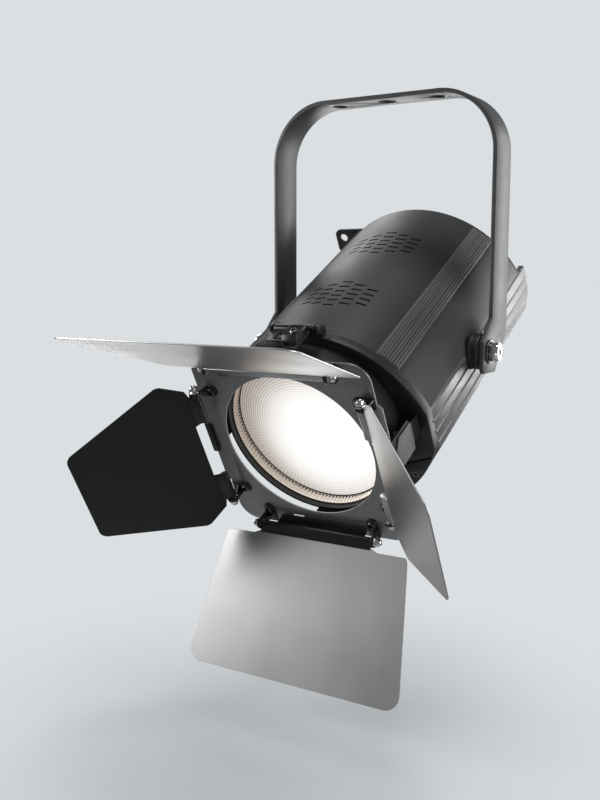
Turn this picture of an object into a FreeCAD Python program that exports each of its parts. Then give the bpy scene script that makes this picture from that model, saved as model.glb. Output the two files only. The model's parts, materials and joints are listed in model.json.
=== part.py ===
import FreeCAD, Part
import math
import os

# LED Fresnel spotlight: a lamp head tilting in a U-shaped hanging yoke, with a four-leaf barn door.
# Row frame: origin at the middle of the yoke's centre hole, on the bar's top face. +Z up, and the
# light leaves the head towards -Y. Millimetres throughout.
# The head is modelled level, with its tilt pivot at the origin, in three head measures:
#   x  across the head, to the right seen from behind
#   a  ahead along the lens axis, towards the light (row -Y when level)
#   v  up from the lens axis (row +Z when level)
# and is then tilted down and carried to the pivot.

Vector = FreeCAD.Vector

# Driving dimensions: yoke
YOKE_WIDTH = 244.0            # outside, leg to leg
YOKE_BAR_DEPTH = 38.0         # the flat bar's width, front to back
YOKE_BAR_THICK = 4.0
YOKE_CORNER = 60.0            # outside bend radius
YOKE_HEIGHT = 245.0           # top face above the tilt pivot
PIVOT_AHEAD = 25.0            # tilt pivot in front of the bar's middle
CENTRE_HOLE_R = 8.75
SIDE_HOLE_R = 7.25
SIDE_HOLE_SPACING = 108.0
REST_TILT = 28.0              # degrees nose-down at rest
PIVOT_BOLT_R = 5.0
RUNNING_GAP = 0.06            # radial clearance of a shaft in its hole

# Driving dimensions: head
AXIS_DROP = 5.0               # lens axis below the tilt pivot
SHELL_R = 112.0               # radius of the top and bottom arcs
TOP_ARC_V = -25.0             # height of the top arc's centre
BOTTOM_ARC_V = 10.0           # height of the bottom arc's centre
SHELL_THICK = 2.0
COVER_ANGLE = 35.5            # half angle of the vented top cover
STRIP_ANGLE = 48.5            # outer edge of the ribbed strips
SIDE_ANGLE = 70.7             # lower edge of the side shells
BOTTOM_ANGLE = 63.0           # half angle of the bottom shell
SHELL_FRONT = 104.0
SHELL_BACK = -140.0
BEZEL_FRONT = 114.0
BEZEL_WALL = 5.0
REAR_PANEL_THICK = 3.0
RAIL_IN = 100.0
RAIL_OUT = 106.0
RAIL_TOP = 10.8
RAIL_BOTTOM = -39.5
RAIL_BACK = -161.0
PIVOT_SEAT = 105.8            # the pivot boss stands in a shallow round seat in the rail
BOSS_R = 17.0
BARREL_R = 82.0               # outside of the barrel's front ring
BARREL_NECK_R = 80.0          # where it passes the bezel
BARREL_BORE = 79.5
BARREL_FRONT = 150.0
LENS_RIM = 134.0              # front of the lens's rim
LENS_SEAT = 126.0
LENS_R = 79.2
LENS_FACE_R = 77.3            # the domed face, inside the retaining ring
LENS_DOME = 5.5
RETAINER_FRONT = 145.0

# Driving dimensions: barn door
DOOR_FACE = 163.0             # front face of the frame plate
DOOR_SHEET = 1.5
DOOR_HALF = 90.5
DOOR_EAR = 94.5               # half width where the side clips hold it
DOOR_TOP = 93.0
DOOR_BOTTOM = -95.0
APERTURE_R = 75.0
HINGE_AHEAD = 176.0
HINGE_R = 3.0                 # rolled edge of each leaf
LUG_PLACE = 60.0              # lugs stand this far each side of the leaf's middle
LUG_THICK = 2.0
HINGE_BOLT_R = 2.0
TOP_HINGE = 88.0              # hinge lines, from the lens axis
SIDE_HINGE = 84.0
LEAF_SHEET = 1.2
# leaf: (direction, hinge distance from the lens axis, opening from the frame plate in degrees)
LEAVES = {
    "top": ("up", TOP_HINGE, 48.0),
    "bottom": ("down", TOP_HINGE, 50.0),
    "left": ("left", SIDE_HINGE, 47.0),
    "right": ("right", SIDE_HINGE, 44.5),
}

# Driving dimensions: inside
CHASSIS_PLACE = -80.0
ROD_X = 74.0
ROD_V = -58.0
ROD_R = 4.0
SCREW_X = 50.0
SCREW_V = -52.0
SCREW_R = 4.0
FAN_V = 35.0
FAN_R = 31.0
SOCKET_V = -58.0
POWER_SOCKET_R = 9.5
DATA_SOCKET_R = 8.0
BUTTON_X = (22.0, 38.0, 54.0, 70.0)
BUTTON_V = -22.0
BUTTON_R = 4.0

ALONG = Vector(0, 1, 0)       # from ahead to behind, in the level head
ACROSS = Vector(1, 0, 0)
PIVOT = Vector(0, -PIVOT_AHEAD, -YOKE_HEIGHT)

os.makedirs("parts", exist_ok=True)


# Helpers: every solid of the head is made in (x, a, v)

def at(x, a, v):
    """The point of the level head at x across, a ahead and v above the lens axis."""
    return Vector(x, -a, v - AXIS_DROP)


def block(x0, x1, a0, a1, v0, v1):
    return Part.makeBox(x1 - x0, a1 - a0, v1 - v0, at(x0, a1, v0))


def disc(radius, a0, a1, x=0.0, v=0.0):
    """A cylinder along the lens axis."""
    return Part.makeCylinder(radius, a1 - a0, at(x, a1, v), ALONG)


def ring(outer, inner, a0, a1, x=0.0, v=0.0):
    return disc(outer, a0, a1, x, v).cut(disc(inner, a0 - 1, a1 + 1, x, v))


def cross_pin(radius, x0, x1, a, v):
    """A cylinder along x."""
    return Part.makeCylinder(radius, x1 - x0, at(x0, a, v), ACROSS)


def extrude_outline(points, direction):
    wire = Part.makePolygon(points + [points[0]])
    return Part.Face(wire).extrude(direction)


def prism(outline, a0, a1):
    """An (x, v) outline run along the lens axis."""
    return extrude_outline([at(x, a1, v) for x, v in outline], Vector(0, a1 - a0, 0))


def plan_prism(outline, v0, v1):
    """An (x, a) outline run upwards."""
    return extrude_outline([at(x, a, v0) for x, a in outline], Vector(0, 0, v1 - v0))


def side_prism(outline, x0, x1):
    """An (a, v) outline run across."""
    return extrude_outline([at(x0, a, v) for a, v in outline], Vector(x1 - x0, 0, 0))


def rounded_face(points, lift=0.0):
    """A face in the XY plane from (x, y, corner radius) points."""
    count = len(points)
    corners = []
    for i, (x, y, radius) in enumerate(points):
        here = Vector(x, y, lift)
        before = Vector(points[i - 1][0], points[i - 1][1], lift)
        after = Vector(points[(i + 1) % count][0], points[(i + 1) % count][1], lift)
        to_before = (before - here).normalize()
        to_after = (after - here).normalize()
        if radius == 0:
            corners.append((here, None, here))
            continue
        half = to_before.getAngle(to_after) / 2
        reach = radius / math.tan(half)
        bisector = (to_before + to_after).normalize()
        middle = here + bisector * (radius / math.sin(half) - radius)
        corners.append((here + to_before * reach, middle, here + to_after * reach))
    edges = []
    for i, (start, middle, end) in enumerate(corners):
        if middle is not None:
            edges.append(Part.Arc(start, middle, end).toShape())
        following = corners[(i + 1) % count][0]
        if (following - end).Length > 1e-6:
            edges.append(Part.LineSegment(end, following).toShape())
    return Part.Face(Part.Wire(edges))


def upright(face, a_front, thickness):
    """Stands a face drawn in (x, v) across the lens axis, its front at a_front."""
    shape = face.extrude(Vector(0, 0, thickness))
    shape.rotate(Vector(0, 0, 0), ACROSS, 90)
    shape.translate(at(0, a_front, 0) + Vector(0, thickness, 0))
    return shape


def arc_point(radius, centre_v, degrees, a):
    turn = math.radians(degrees)
    return at(radius * math.sin(turn), a, centre_v + radius * math.cos(turn))


def arc_sheet(radius, thickness, centre_v, start, end, a0, a1):
    """A curved sheet between two angles, measured from straight up towards +x."""
    middle = (start + end) / 2
    inner = radius - thickness
    out = [arc_point(radius, centre_v, t, a1) for t in (start, middle, end)]
    back = [arc_point(inner, centre_v, t, a1) for t in (end, middle, start)]
    edges = [
        Part.Arc(*out).toShape(),
        Part.LineSegment(out[2], back[0]).toShape(),
        Part.Arc(*back).toShape(),
        Part.LineSegment(back[2], out[0]).toShape(),
    ]
    return Part.Face(Part.Wire(edges)).extrude(Vector(0, a1 - a0, 0))


def section(inset, half_width, a0, a1):
    """The head's cross-section, drawn in by inset, as a solid from a0 to a1."""
    top = disc(SHELL_R - inset, a0, a1, 0, TOP_ARC_V)
    bottom = disc(SHELL_R - inset, a0, a1, 0, BOTTOM_ARC_V)
    slab = block(-half_width, half_width, a0, a1, -SHELL_R, SHELL_R)
    return top.common(bottom).common(slab)


def mirrored(shape):
    return shape.mirror(Vector(0, 0, 0), ACROSS)


def group(shapes):
    return Part.makeCompound(shapes)


def in_place(shape):
    """Tilts a shape of the level head to its rest angle and carries it to the pivot."""
    placed = shape.copy()
    placed.rotate(Vector(0, 0, 0), ACROSS, REST_TILT)
    placed.translate(PIVOT)
    return placed


def save(name, shape):
    shape.exportStep("parts/" + name + ".step")


def save_head(name, shape):
    save(name, in_place(shape))


# Yoke: one flat bar bent into a U, its feet cut to sweep forward to the tilt bolts

def yoke_bar():
    half = YOKE_WIDTH / 2
    inner = half - YOKE_BAR_THICK
    straight = YOKE_HEIGHT - 40
    outer = Part.makeBox(YOKE_WIDTH, YOKE_BAR_DEPTH, straight,
                         Vector(-half, -YOKE_BAR_DEPTH / 2, -straight))
    hollow = Part.makeBox(2 * inner, YOKE_BAR_DEPTH + 2, straight,
                          Vector(-inner, -YOKE_BAR_DEPTH / 2 - 1, -straight - YOKE_BAR_THICK))
    top_corners = [e for e in outer.Edges
                   if abs(e.BoundBox.ZMin) < 0.01 and abs(e.BoundBox.XLength) < 0.01]
    inner_top = -YOKE_BAR_THICK
    inner_corners = [e for e in hollow.Edges
                     if abs(e.BoundBox.ZMin - inner_top) < 0.01 and e.BoundBox.XLength < 0.01]
    bent = outer.makeFillet(YOKE_CORNER, top_corners)
    bent = bent.cut(hollow.makeFillet(YOKE_CORNER - YOKE_BAR_THICK, inner_corners))
    rear = YOKE_BAR_DEPTH / 2
    front = -rear
    pivot_y = -PIVOT_AHEAD
    pivot_z = -YOKE_HEIGHT
    foot_outline = [
        (front, -straight),
        (front, pivot_z + 31),
        (pivot_y - 15, pivot_z + 10),
        (pivot_y - 15, pivot_z - 16),
        (pivot_y - 11, pivot_z - 20),
        (pivot_y + 16, pivot_z - 20),
        (rear, pivot_z + 18),
        (rear, -straight),
    ]
    for side in (-half, inner):
        points = [Vector(side, y, z) for y, z in foot_outline]
        bent = bent.fuse(extrude_outline(points, Vector(YOKE_BAR_THICK, 0, 0)))
    bent = bent.removeSplitter()
    holes = [(0, CENTRE_HOLE_R)]
    holes += [(side * SIDE_HOLE_SPACING / 2, SIDE_HOLE_R) for side in (-1, 1)]
    for x, radius in holes:
        bent = bent.cut(Part.makeCylinder(radius, 20, Vector(x, 0, -10)))
    bolt_hole = Part.makeCylinder(PIVOT_BOLT_R + RUNNING_GAP, YOKE_WIDTH + 20,
                                  Vector(-half - 10, pivot_y, pivot_z), ACROSS)
    return bent.cut(bolt_hole)


save("yoke_bar", yoke_bar())


# Tilt pivot: boss, friction washer, bolt and its washers on each side

PIVOT_V = AXIS_DROP           # the pivot's height above the lens axis
LEG_IN = YOKE_WIDTH / 2 - YOKE_BAR_THICK
LEG_OUT = YOKE_WIDTH / 2
BOSS_END = LEG_IN - 1.8


def pivot_ring(outer, inner, x0, x1):
    return cross_pin(outer, x0, x1, 0, PIVOT_V).cut(cross_pin(inner, x0 - 1, x1 + 1, 0, PIVOT_V))


def pivot_boss():
    foot = pivot_ring(BOSS_R, PIVOT_BOLT_R, PIVOT_SEAT, BOSS_END)
    groove = pivot_ring(BOSS_R + 1, BOSS_R - 1.5, RAIL_OUT + 4, RAIL_OUT + 5.5)
    return foot.cut(groove)


def right_bolt():
    shank = cross_pin(PIVOT_BOLT_R, RAIL_IN, LEG_OUT + 4.2, 0, PIVOT_V)
    head = cross_pin(8.5, LEG_OUT + 4.2, LEG_OUT + 10.5, 0, PIVOT_V)
    edges = [e for e in head.Edges if e.BoundBox.XMin > LEG_OUT + 10]
    head = head.makeFillet(2.0, edges)
    socket = Part.makeCylinder(3.6, 5, at(LEG_OUT + 6.5, 0, PIVOT_V), ACROSS)
    return shank.fuse(head).cut(socket)


def left_bolt():
    shank = cross_pin(PIVOT_BOLT_R, RAIL_IN, LEG_OUT + 5.2, 0, PIVOT_V)
    collar = cross_pin(8.6, LEG_OUT + 5.2, LEG_OUT + 13, 0, PIVOT_V)
    dome = Part.makeSphere(7.0, at(LEG_OUT + 13, 0, PIVOT_V), ACROSS, 0, 90)
    return mirrored(shank.fuse(collar).fuse(dome))


boss = pivot_boss()
save_head("pivot_bosses", group([boss, mirrored(boss)]))
friction = pivot_ring(15.0, PIVOT_BOLT_R, BOSS_END, LEG_IN - 0.3)
save_head("friction_washers", group([friction, mirrored(friction)]))
save_head("tilt_bolts", group([left_bolt(), right_bolt()]))
right_washers = [
    pivot_ring(11.0, PIVOT_BOLT_R, LEG_OUT + 0.3, LEG_OUT + 2.2),
    pivot_ring(9.5, PIVOT_BOLT_R, LEG_OUT + 2.2, LEG_OUT + 4.2),
]
left_washers = [
    mirrored(pivot_ring(11.0, PIVOT_BOLT_R, LEG_OUT + 0.3, LEG_OUT + 3.2)),
    mirrored(pivot_ring(10.0, PIVOT_BOLT_R, LEG_OUT + 3.2, LEG_OUT + 5.2)),
]
save_head("tilt_washers", group(right_washers + left_washers))


# Housing: top cover with two hexagonal groups of slots, ribbed strips, side and bottom shells

VENT_PITCH_ANGLE = 7.6
VENT_SLOT_ANGLE = 5.6
VENT_PITCH_AHEAD = 8.6
VENT_SLOT_WIDTH = 2.4
VENT_PLACES = (38.0, -66.0)


def vent_slot(angle, a):
    half = VENT_SLOT_ANGLE / 2
    return arc_sheet(SHELL_R + 2, 6, TOP_ARC_V, angle - half, angle + half,
                     a - VENT_SLOT_WIDTH / 2, a + VENT_SLOT_WIDTH / 2)


def top_cover():
    cover = arc_sheet(SHELL_R, SHELL_THICK, TOP_ARC_V, -COVER_ANGLE, COVER_ANGLE,
                      SHELL_BACK, SHELL_FRONT)
    slots = []
    for place in VENT_PLACES:
        for column in range(-2, 3):
            rows = 6 - abs(column)
            for row in range(rows):
                a = place + (row - (rows - 1) / 2) * VENT_PITCH_AHEAD
                slots.append(vent_slot(column * VENT_PITCH_ANGLE, a))
    return cover.cut(slots)


def rib_strip():
    strip = arc_sheet(SHELL_R, SHELL_THICK + 0.6, TOP_ARC_V, COVER_ANGLE + 0.1, STRIP_ANGLE - 0.1,
                      SHELL_BACK, SHELL_FRONT)
    grooves = []
    for i in range(8):
        start = COVER_ANGLE + 3.6 + i * 0.95
        grooves.append(arc_sheet(SHELL_R + 1, 2.0, TOP_ARC_V, start, start + 0.45,
                                 SHELL_BACK - 1, SHELL_FRONT + 1))
    return strip.cut(grooves)


def side_shell():
    return arc_sheet(SHELL_R, SHELL_THICK + 0.4, TOP_ARC_V, STRIP_ANGLE, SIDE_ANGLE,
                     SHELL_BACK, SHELL_FRONT)


def side_rail():
    outline = [
        (RAIL_IN, RAIL_TOP), (RAIL_OUT - 1.5, RAIL_TOP), (RAIL_OUT, RAIL_TOP - 2),
    ]
    for ridge in (-2.5, -14.0, -25.5):
        outline += [(RAIL_OUT, ridge + 1.2), (RAIL_OUT + 1.0, ridge), (RAIL_OUT, ridge - 1.2)]
    outline += [(RAIL_OUT, -33.0), (RAIL_IN + 1, RAIL_BOTTOM), (RAIL_IN, RAIL_BOTTOM)]
    rail = prism(outline, RAIL_BACK, SHELL_FRONT)
    rear_chamfer = side_prism([(RAIL_BACK - 1, -20), (RAIL_BACK + 20, -41), (RAIL_BACK - 1, -41)],
                              RAIL_IN - 1, RAIL_OUT + 3)
    seat = cross_pin(BOSS_R + 0.3, PIVOT_SEAT, RAIL_OUT + 3, 0, PIVOT_V)
    bolt_way = cross_pin(PIVOT_BOLT_R, RAIL_IN - 1, RAIL_OUT + 3, 0, PIVOT_V)
    return rail.cut([rear_chamfer, seat, bolt_way])


def bottom_shell():
    shell = arc_sheet(SHELL_R, SHELL_THICK, BOTTOM_ARC_V, 180 - BOTTOM_ANGLE, 180 + BOTTOM_ANGLE,
                      SHELL_BACK, SHELL_FRONT)
    slots = []
    for i in range(7):
        a = -96 + i * 12
        slots.append(block(-32, -4, a - 2, a + 2, -SHELL_R, -80))
        slots.append(block(4, 32, a - 2, a + 2, -SHELL_R, -80))
    return shell.cut(slots)


save_head("top_cover", top_cover())
for side, turn in (("right", lambda s: s), ("left", mirrored)):
    save_head(side + "_rib_strip", turn(rib_strip()))
    save_head(side + "_side_shell", turn(side_shell()))
    save_head(side + "_side_rail", turn(side_rail()))
save_head("bottom_shell", bottom_shell())


# Bezels: the cast front, split low down into an upper and a lower piece

SPLIT_OUTER_V = -33.0
SPLIT_INNER_V = -47.0
SPLIT_INNER_X = 72.0
BEZEL_SCREWS = ((78.5, 35.0), (81.5, -57.5))


def whole_bezel():
    body = section(0.0, RAIL_OUT, SHELL_FRONT, BEZEL_FRONT)
    edges = [e for e in body.Edges
             if abs(e.BoundBox.YMin + BEZEL_FRONT) < 0.01 and abs(e.BoundBox.YMax + BEZEL_FRONT) < 0.01]
    body = body.makeFillet(1.2, edges)
    hollow = section(3.0, RAIL_OUT - 3, SHELL_FRONT - 1, BEZEL_FRONT - BEZEL_WALL)
    body = body.cut([hollow, disc(BARREL_NECK_R + 0.3, SHELL_FRONT - 2, BEZEL_FRONT + 2)])
    for x, v in BEZEL_SCREWS:
        for side in (-1, 1):
            body = body.cut(disc(3.8, BEZEL_FRONT - 3.2, BEZEL_FRONT + 1, side * x, v))
            body = body.cut(disc(2.0, BEZEL_FRONT - 9, BEZEL_FRONT + 1, side * x, v))
    return body


def lower_region(gap):
    """Everything under the split line, moved down by gap."""
    far = RAIL_OUT + 5
    return prism([(-far, SPLIT_OUTER_V - gap), (-SPLIT_INNER_X, SPLIT_INNER_V - gap),
                  (SPLIT_INNER_X, SPLIT_INNER_V - gap), (far, SPLIT_OUTER_V - gap),
                  (far, -SHELL_R), (-far, -SHELL_R)], SHELL_FRONT - 5, BEZEL_FRONT + 5)


def front_bezel():
    """The upper piece, its two lower corners set back a little below a sloping step."""
    upper = whole_bezel().cut(lower_region(0))
    corner = prism([(62, 17), (RAIL_OUT - 1.5, 8), (RAIL_OUT - 1.5, SPLIT_INNER_V), (62, SPLIT_INNER_V)],
                   BEZEL_FRONT - 1.2, BEZEL_FRONT + 1)
    return upper.cut([corner, mirrored(corner)])


save_head("front_bezel", front_bezel())
save_head("lower_bezel", whole_bezel().common(lower_region(0.4)))


def cap_screw(x, v, a_front, length, radius=3.5):
    head = disc(radius, a_front - 3, a_front, x, v)
    socket = disc(radius * 0.5, a_front - 2, a_front + 1, x, v)
    return head.fuse(disc(1.9, a_front - length, a_front - 3, x, v)).cut(socket)


save_head("bezel_screws", group([cap_screw(side * x, v, BEZEL_FRONT - 0.2, 8.5)
                                 for x, v in BEZEL_SCREWS for side in (-1, 1)]))


# Optics: barrel, ribbed retaining ring and the Fresnel lens

def lens_barrel():
    """A neck through the bezel, a seat for the lens and a wider ring ahead of it."""
    neck = ring(BARREL_NECK_R, LENS_R - 3, BEZEL_FRONT - BEZEL_WALL, LENS_SEAT)
    flange = ring(83.5, LENS_R - 3, SHELL_FRONT + 1, BEZEL_FRONT - BEZEL_WALL)
    front = ring(BARREL_R, BARREL_BORE, LENS_SEAT - 3, BARREL_FRONT)
    seat = ring(BARREL_R, LENS_R - 3, LENS_SEAT - 3, LENS_SEAT)
    return neck.fuse([flange, front, seat]).removeSplitter()


def fresnel_lens():
    sphere_r = (LENS_FACE_R ** 2 + LENS_DOME ** 2) / (2 * LENS_DOME)
    rim = disc(LENS_R, LENS_SEAT, LENS_RIM)
    cap = Part.makeSphere(sphere_r, at(0, LENS_RIM + LENS_DOME - sphere_r, 0))
    cap = cap.common(disc(LENS_FACE_R, LENS_RIM - 1, LENS_RIM + LENS_DOME + 1))
    return rim.fuse(cap).removeSplitter()


def lens_retainer():
    """Spring ring with fine turned ridges on its inner wall."""
    band = ring(BARREL_BORE - 0.05, LENS_FACE_R + 0.2, LENS_RIM, RETAINER_FRONT)
    ridges = [ring(LENS_FACE_R + 1.0, LENS_FACE_R - 1, LENS_RIM + 2.0 + i * 2.0, LENS_RIM + 3.0 + i * 2.0)
              for i in range(4)]
    return band.cut(ridges)


save_head("lens_barrel", lens_barrel())
save_head("lens_retainer", lens_retainer())
save_head("fresnel_lens", fresnel_lens())


# Accessory holder: three channel clips and a sprung latch over the rear slot

CLIP_WALL_IN = DOOR_EAR + 1.0
CLIP_SHEET = 1.5
LIP_REACH = 4.5
LIP_PLACES = (148.5, DOOR_FACE - DOOR_SHEET - CLIP_SHEET - 0.4, DOOR_FACE + 0.4)
CLIP_LOW = -14.0
CLIP_HIGH = 18.0


def side_clip():
    out = CLIP_WALL_IN + CLIP_SHEET
    tip = LIP_PLACES[-1] + CLIP_SHEET
    foot = block(89.5, out, BEZEL_FRONT, BEZEL_FRONT + CLIP_SHEET, -8, 12)
    arm = block(CLIP_WALL_IN, out, BEZEL_FRONT, 134, -8, 12)
    wall = block(CLIP_WALL_IN, out, 132, tip, CLIP_LOW, CLIP_HIGH)
    lips = [block(CLIP_WALL_IN - LIP_REACH, CLIP_WALL_IN, a, a + CLIP_SHEET, CLIP_LOW, CLIP_HIGH)
            for a in LIP_PLACES]
    return foot.fuse([arm, wall] + lips).removeSplitter()


def bottom_clip():
    wall_v = DOOR_BOTTOM - 0.6
    tip = LIP_PLACES[-1] + CLIP_SHEET
    foot = block(-14, 14, BEZEL_FRONT, BEZEL_FRONT + CLIP_SHEET, wall_v - CLIP_SHEET, -89.5)
    arm = block(-14, 14, BEZEL_FRONT, 134, wall_v - CLIP_SHEET, wall_v)
    wall = block(-20, 20, 132, tip, wall_v - CLIP_SHEET, wall_v)
    lips = [block(-20, 20, a, a + CLIP_SHEET, wall_v, wall_v + LIP_REACH) for a in LIP_PLACES]
    return foot.fuse([arm, wall] + lips).removeSplitter()


save_head("right_clip", side_clip())
save_head("left_clip", mirrored(side_clip()))
save_head("bottom_clip", bottom_clip())

LATCH_PIVOT_A = 120.0
LATCH_PIVOT_V = 97.0
LATCH_PIN_R = 2.0


def latch_bracket():
    base = block(-22, 22, SHELL_FRONT + 1, BEZEL_FRONT - 1.5, 83, 89.5)
    base = base.cut(disc(SHELL_R + 0.02, SHELL_FRONT - 2, BEZEL_FRONT + 2, 0, TOP_ARC_V))
    ears = []
    for x in (-22.0, 19.5):
        outline = [(SHELL_FRONT + 1, 88), (SHELL_FRONT + 1, 93), (116, 101), (124, 101),
                   (125, 95), (118, 90), (BEZEL_FRONT - 1.5, 88)]
        ears.append(side_prism(outline, x, x + 2.5))
    pin = cross_pin(LATCH_PIN_R, -22.5, 22.5, LATCH_PIVOT_A, LATCH_PIVOT_V)
    knob = cross_pin(4.0, 22.5, 26.0, LATCH_PIVOT_A, LATCH_PIVOT_V)
    return base.fuse(ears + [pin, knob]).removeSplitter()


def top_latch():
    half = 18.8
    barrel = cross_pin(4.2, -half, half, LATCH_PIVOT_A, LATCH_PIVOT_V)
    plate = block(-half, half, LATCH_PIVOT_A, 151.5, LATCH_PIVOT_V - 1, LATCH_PIVOT_V + 1)
    window = block(-10, 10, 129, 143, LATCH_PIVOT_V - 5, LATCH_PIVOT_V + 5)
    lip = block(-half, half, 150, 152, 88, LATCH_PIVOT_V + 1)
    thumb = block(-8, 8, 150, 152, LATCH_PIVOT_V, LATCH_PIVOT_V + 8)
    flap = barrel.fuse([plate, lip, thumb]).cut(window)
    return flap.cut(cross_pin(LATCH_PIN_R + RUNNING_GAP, -30, 30, LATCH_PIVOT_A, LATCH_PIVOT_V))


save_head("latch_bracket", latch_bracket())
save_head("top_latch", top_latch())


# Rear: panel, safety tab, display, buttons, connectors

PANEL_BACK = SHELL_BACK - REAR_PANEL_THICK
DISPLAY = (-66.0, -14.0, -34.0, -10.0)
REAR_SCREWS = ((60.0, 60.0), (92.0, -20.0), (84.0, -50.0))
POWER_X = (-66.0, -33.0)
DATA_X = (2.0, 34.0)
FUSE_X = 66.0


def rear_panel():
    panel = section(0.0, RAIL_OUT, PANEL_BACK, SHELL_BACK)
    rail_gap = block(RAIL_IN - 0.2, RAIL_OUT + 1, PANEL_BACK - 1, SHELL_BACK + 1, -60, RAIL_TOP + 0.2)
    panel = panel.cut([rail_gap, mirrored(rail_gap)])
    x0, x1, v0, v1 = DISPLAY
    cuts = [block(x0 + 3, x1 - 3, PANEL_BACK - 1, SHELL_BACK + 1, v0 + 3, v1 - 3)]
    cuts += [disc(BUTTON_R + 0.2, PANEL_BACK - 1, SHELL_BACK + 1, x, BUTTON_V) for x in BUTTON_X]
    cuts += [disc(13.0, PANEL_BACK - 1, SHELL_BACK + 1, x, SOCKET_V) for x in POWER_X]
    cuts += [disc(11.0, PANEL_BACK - 1, SHELL_BACK + 1, x, SOCKET_V) for x in DATA_X]
    cuts += [disc(6.0, PANEL_BACK - 1, SHELL_BACK + 1, FUSE_X, SOCKET_V)]
    cuts += [disc(2.0, PANEL_BACK - 1, SHELL_BACK + 1, side * x, v)
             for x, v in REAR_SCREWS for side in (-1, 1)]
    for row in range(-3, 4):
        level = row * 8.0
        reach = math.sqrt((FAN_R - 1) ** 2 - level ** 2)
        cuts.append(block(-reach, reach, PANEL_BACK - 1, SHELL_BACK + 1,
                          FAN_V + level - 2.2, FAN_V + level + 2.2))
    return panel.cut(cuts)


def safety_tab():
    face = rounded_face([(-101, 66, 7), (-62, 66, 2), (-70, 34, 2), (-101, 40, 4)])
    tab = upright(face, PANEL_BACK, 2.5)
    return tab.cut(disc(4.5, PANEL_BACK - 5, PANEL_BACK + 5, -91.5, 56))


def rear_screw(x, v):
    head = disc(3.6, PANEL_BACK - 2.2, PANEL_BACK, x, v)
    shank = disc(1.95, PANEL_BACK, SHELL_BACK + 4, x, v)
    socket = disc(1.8, PANEL_BACK - 3, PANEL_BACK - 0.8, x, v)
    return head.fuse(shank).cut(socket)


def round_socket(x, radius, flange, body_r):
    """A panel socket with a square flange and a plain round well for its plug."""
    plate = block(x - flange, x + flange, PANEL_BACK - 2, PANEL_BACK, SOCKET_V - flange, SOCKET_V + flange)
    nose = disc(radius + 2.2, PANEL_BACK - 5, PANEL_BACK, x, SOCKET_V)
    body = disc(body_r, PANEL_BACK, -120, x, SOCKET_V)
    well = disc(radius, PANEL_BACK - 6, PANEL_BACK + 9, x, SOCKET_V)
    return plate.fuse([nose, body]).cut(well)


def fuse_holder():
    cap = disc(8.0, PANEL_BACK - 6, PANEL_BACK, FUSE_X, SOCKET_V)
    slot = block(FUSE_X - 5, FUSE_X + 5, PANEL_BACK - 7, PANEL_BACK - 4.5, SOCKET_V - 1, SOCKET_V + 1)
    return cap.fuse(disc(5.9, PANEL_BACK, -118, FUSE_X, SOCKET_V)).cut(slot)


def panel_button(x):
    cap = disc(BUTTON_R, PANEL_BACK - 2.5, SHELL_BACK + 0.3, x, BUTTON_V)
    return cap.fuse(disc(BUTTON_R + 1, SHELL_BACK + 0.3, SHELL_BACK + 1.3, x, BUTTON_V))


def display_window():
    x0, x1, v0, v1 = DISPLAY
    frame = block(x0, x1, PANEL_BACK - 1.5, PANEL_BACK, v0, v1)
    return frame.fuse(block(x0 + 3.2, x1 - 3.2, PANEL_BACK, SHELL_BACK, v0 + 3.2, v1 - 3.2))


save_head("rear_panel", rear_panel())
save_head("safety_tab", safety_tab())
save_head("rear_screws", group([rear_screw(side * x, v) for x, v in REAR_SCREWS for side in (-1, 1)
                                if not (side < 0 and v > 0)]))
save_head("display_window", display_window())
for name, x in zip(("menu", "down", "up", "enter"), BUTTON_X):
    save_head(name + "_button", panel_button(x))
save_head("power_inlet", round_socket(POWER_X[0], POWER_SOCKET_R, 14.0, 12.9))
save_head("power_outlet", round_socket(POWER_X[1], POWER_SOCKET_R, 14.0, 12.9))
save_head("data_sockets", group([round_socket(x, DATA_SOCKET_R, 12.5, 10.9) for x in DATA_X]))
save_head("fuse_holder", fuse_holder())


# Inside: chassis plate, guide rods, zoom drive, fan, boards

FAN_HALF = 35.0
MOTOR_HALF = 17.5


def chassis_plate():
    plate = section(SHELL_THICK + 1.2, RAIL_IN - 0.5, CHASSIS_PLACE, CHASSIS_PLACE + 3)
    return plate.cut([
        disc(30, CHASSIS_PLACE - 1, CHASSIS_PLACE + 4, 0, FAN_V),
        disc(5, CHASSIS_PLACE - 1, CHASSIS_PLACE + 4, SCREW_X, SCREW_V),
        disc(14, CHASSIS_PLACE - 1, CHASSIS_PLACE + 4, 0, -40),
    ])


def fan_frame():
    half = FAN_HALF
    frame = block(-half, half, -138, -113, FAN_V - half, FAN_V + half)
    frame = frame.cut(disc(FAN_R + 2, -140, -110, 0, FAN_V))
    spokes = [block(-FAN_R - 2.5, FAN_R + 2.5, -115.5, -113, FAN_V - 2, FAN_V + 2)]
    spokes.append(disc(12, -115.5, -113, 0, FAN_V))
    return frame.fuse(spokes).removeSplitter()


def fan_rotor():
    hub = disc(12, -136, -117, 0, FAN_V)
    blades = []
    for i in range(7):
        blade = block(10, FAN_R - 0.5, -127.6, -126.4, FAN_V - 7.5, FAN_V + 7.5)
        blade.rotate(at(0, 0, FAN_V), ACROSS, 38)
        offset = blade.BoundBox.Center.y - 127.0
        blade.translate(Vector(0, -offset, 0))
        middle = blade.BoundBox.Center.z - (FAN_V - AXIS_DROP)
        blade.translate(Vector(0, 0, -middle))
        blade.rotate(at(0, 0, FAN_V), ALONG, i * 360 / 7)
        blades.append(blade)
    return hub.fuse(blades).removeSplitter()


def zoom_motor():
    x, v = SCREW_X, SCREW_V
    half = MOTOR_HALF
    body = block(x - half, x + half, CHASSIS_PLACE - 32, CHASSIS_PLACE - 0.1, v - half, v + half)
    vertical = [e for e in body.Edges if abs(e.BoundBox.YLength - 31.9) < 0.05]
    return body.makeFillet(3.0, vertical)


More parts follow.
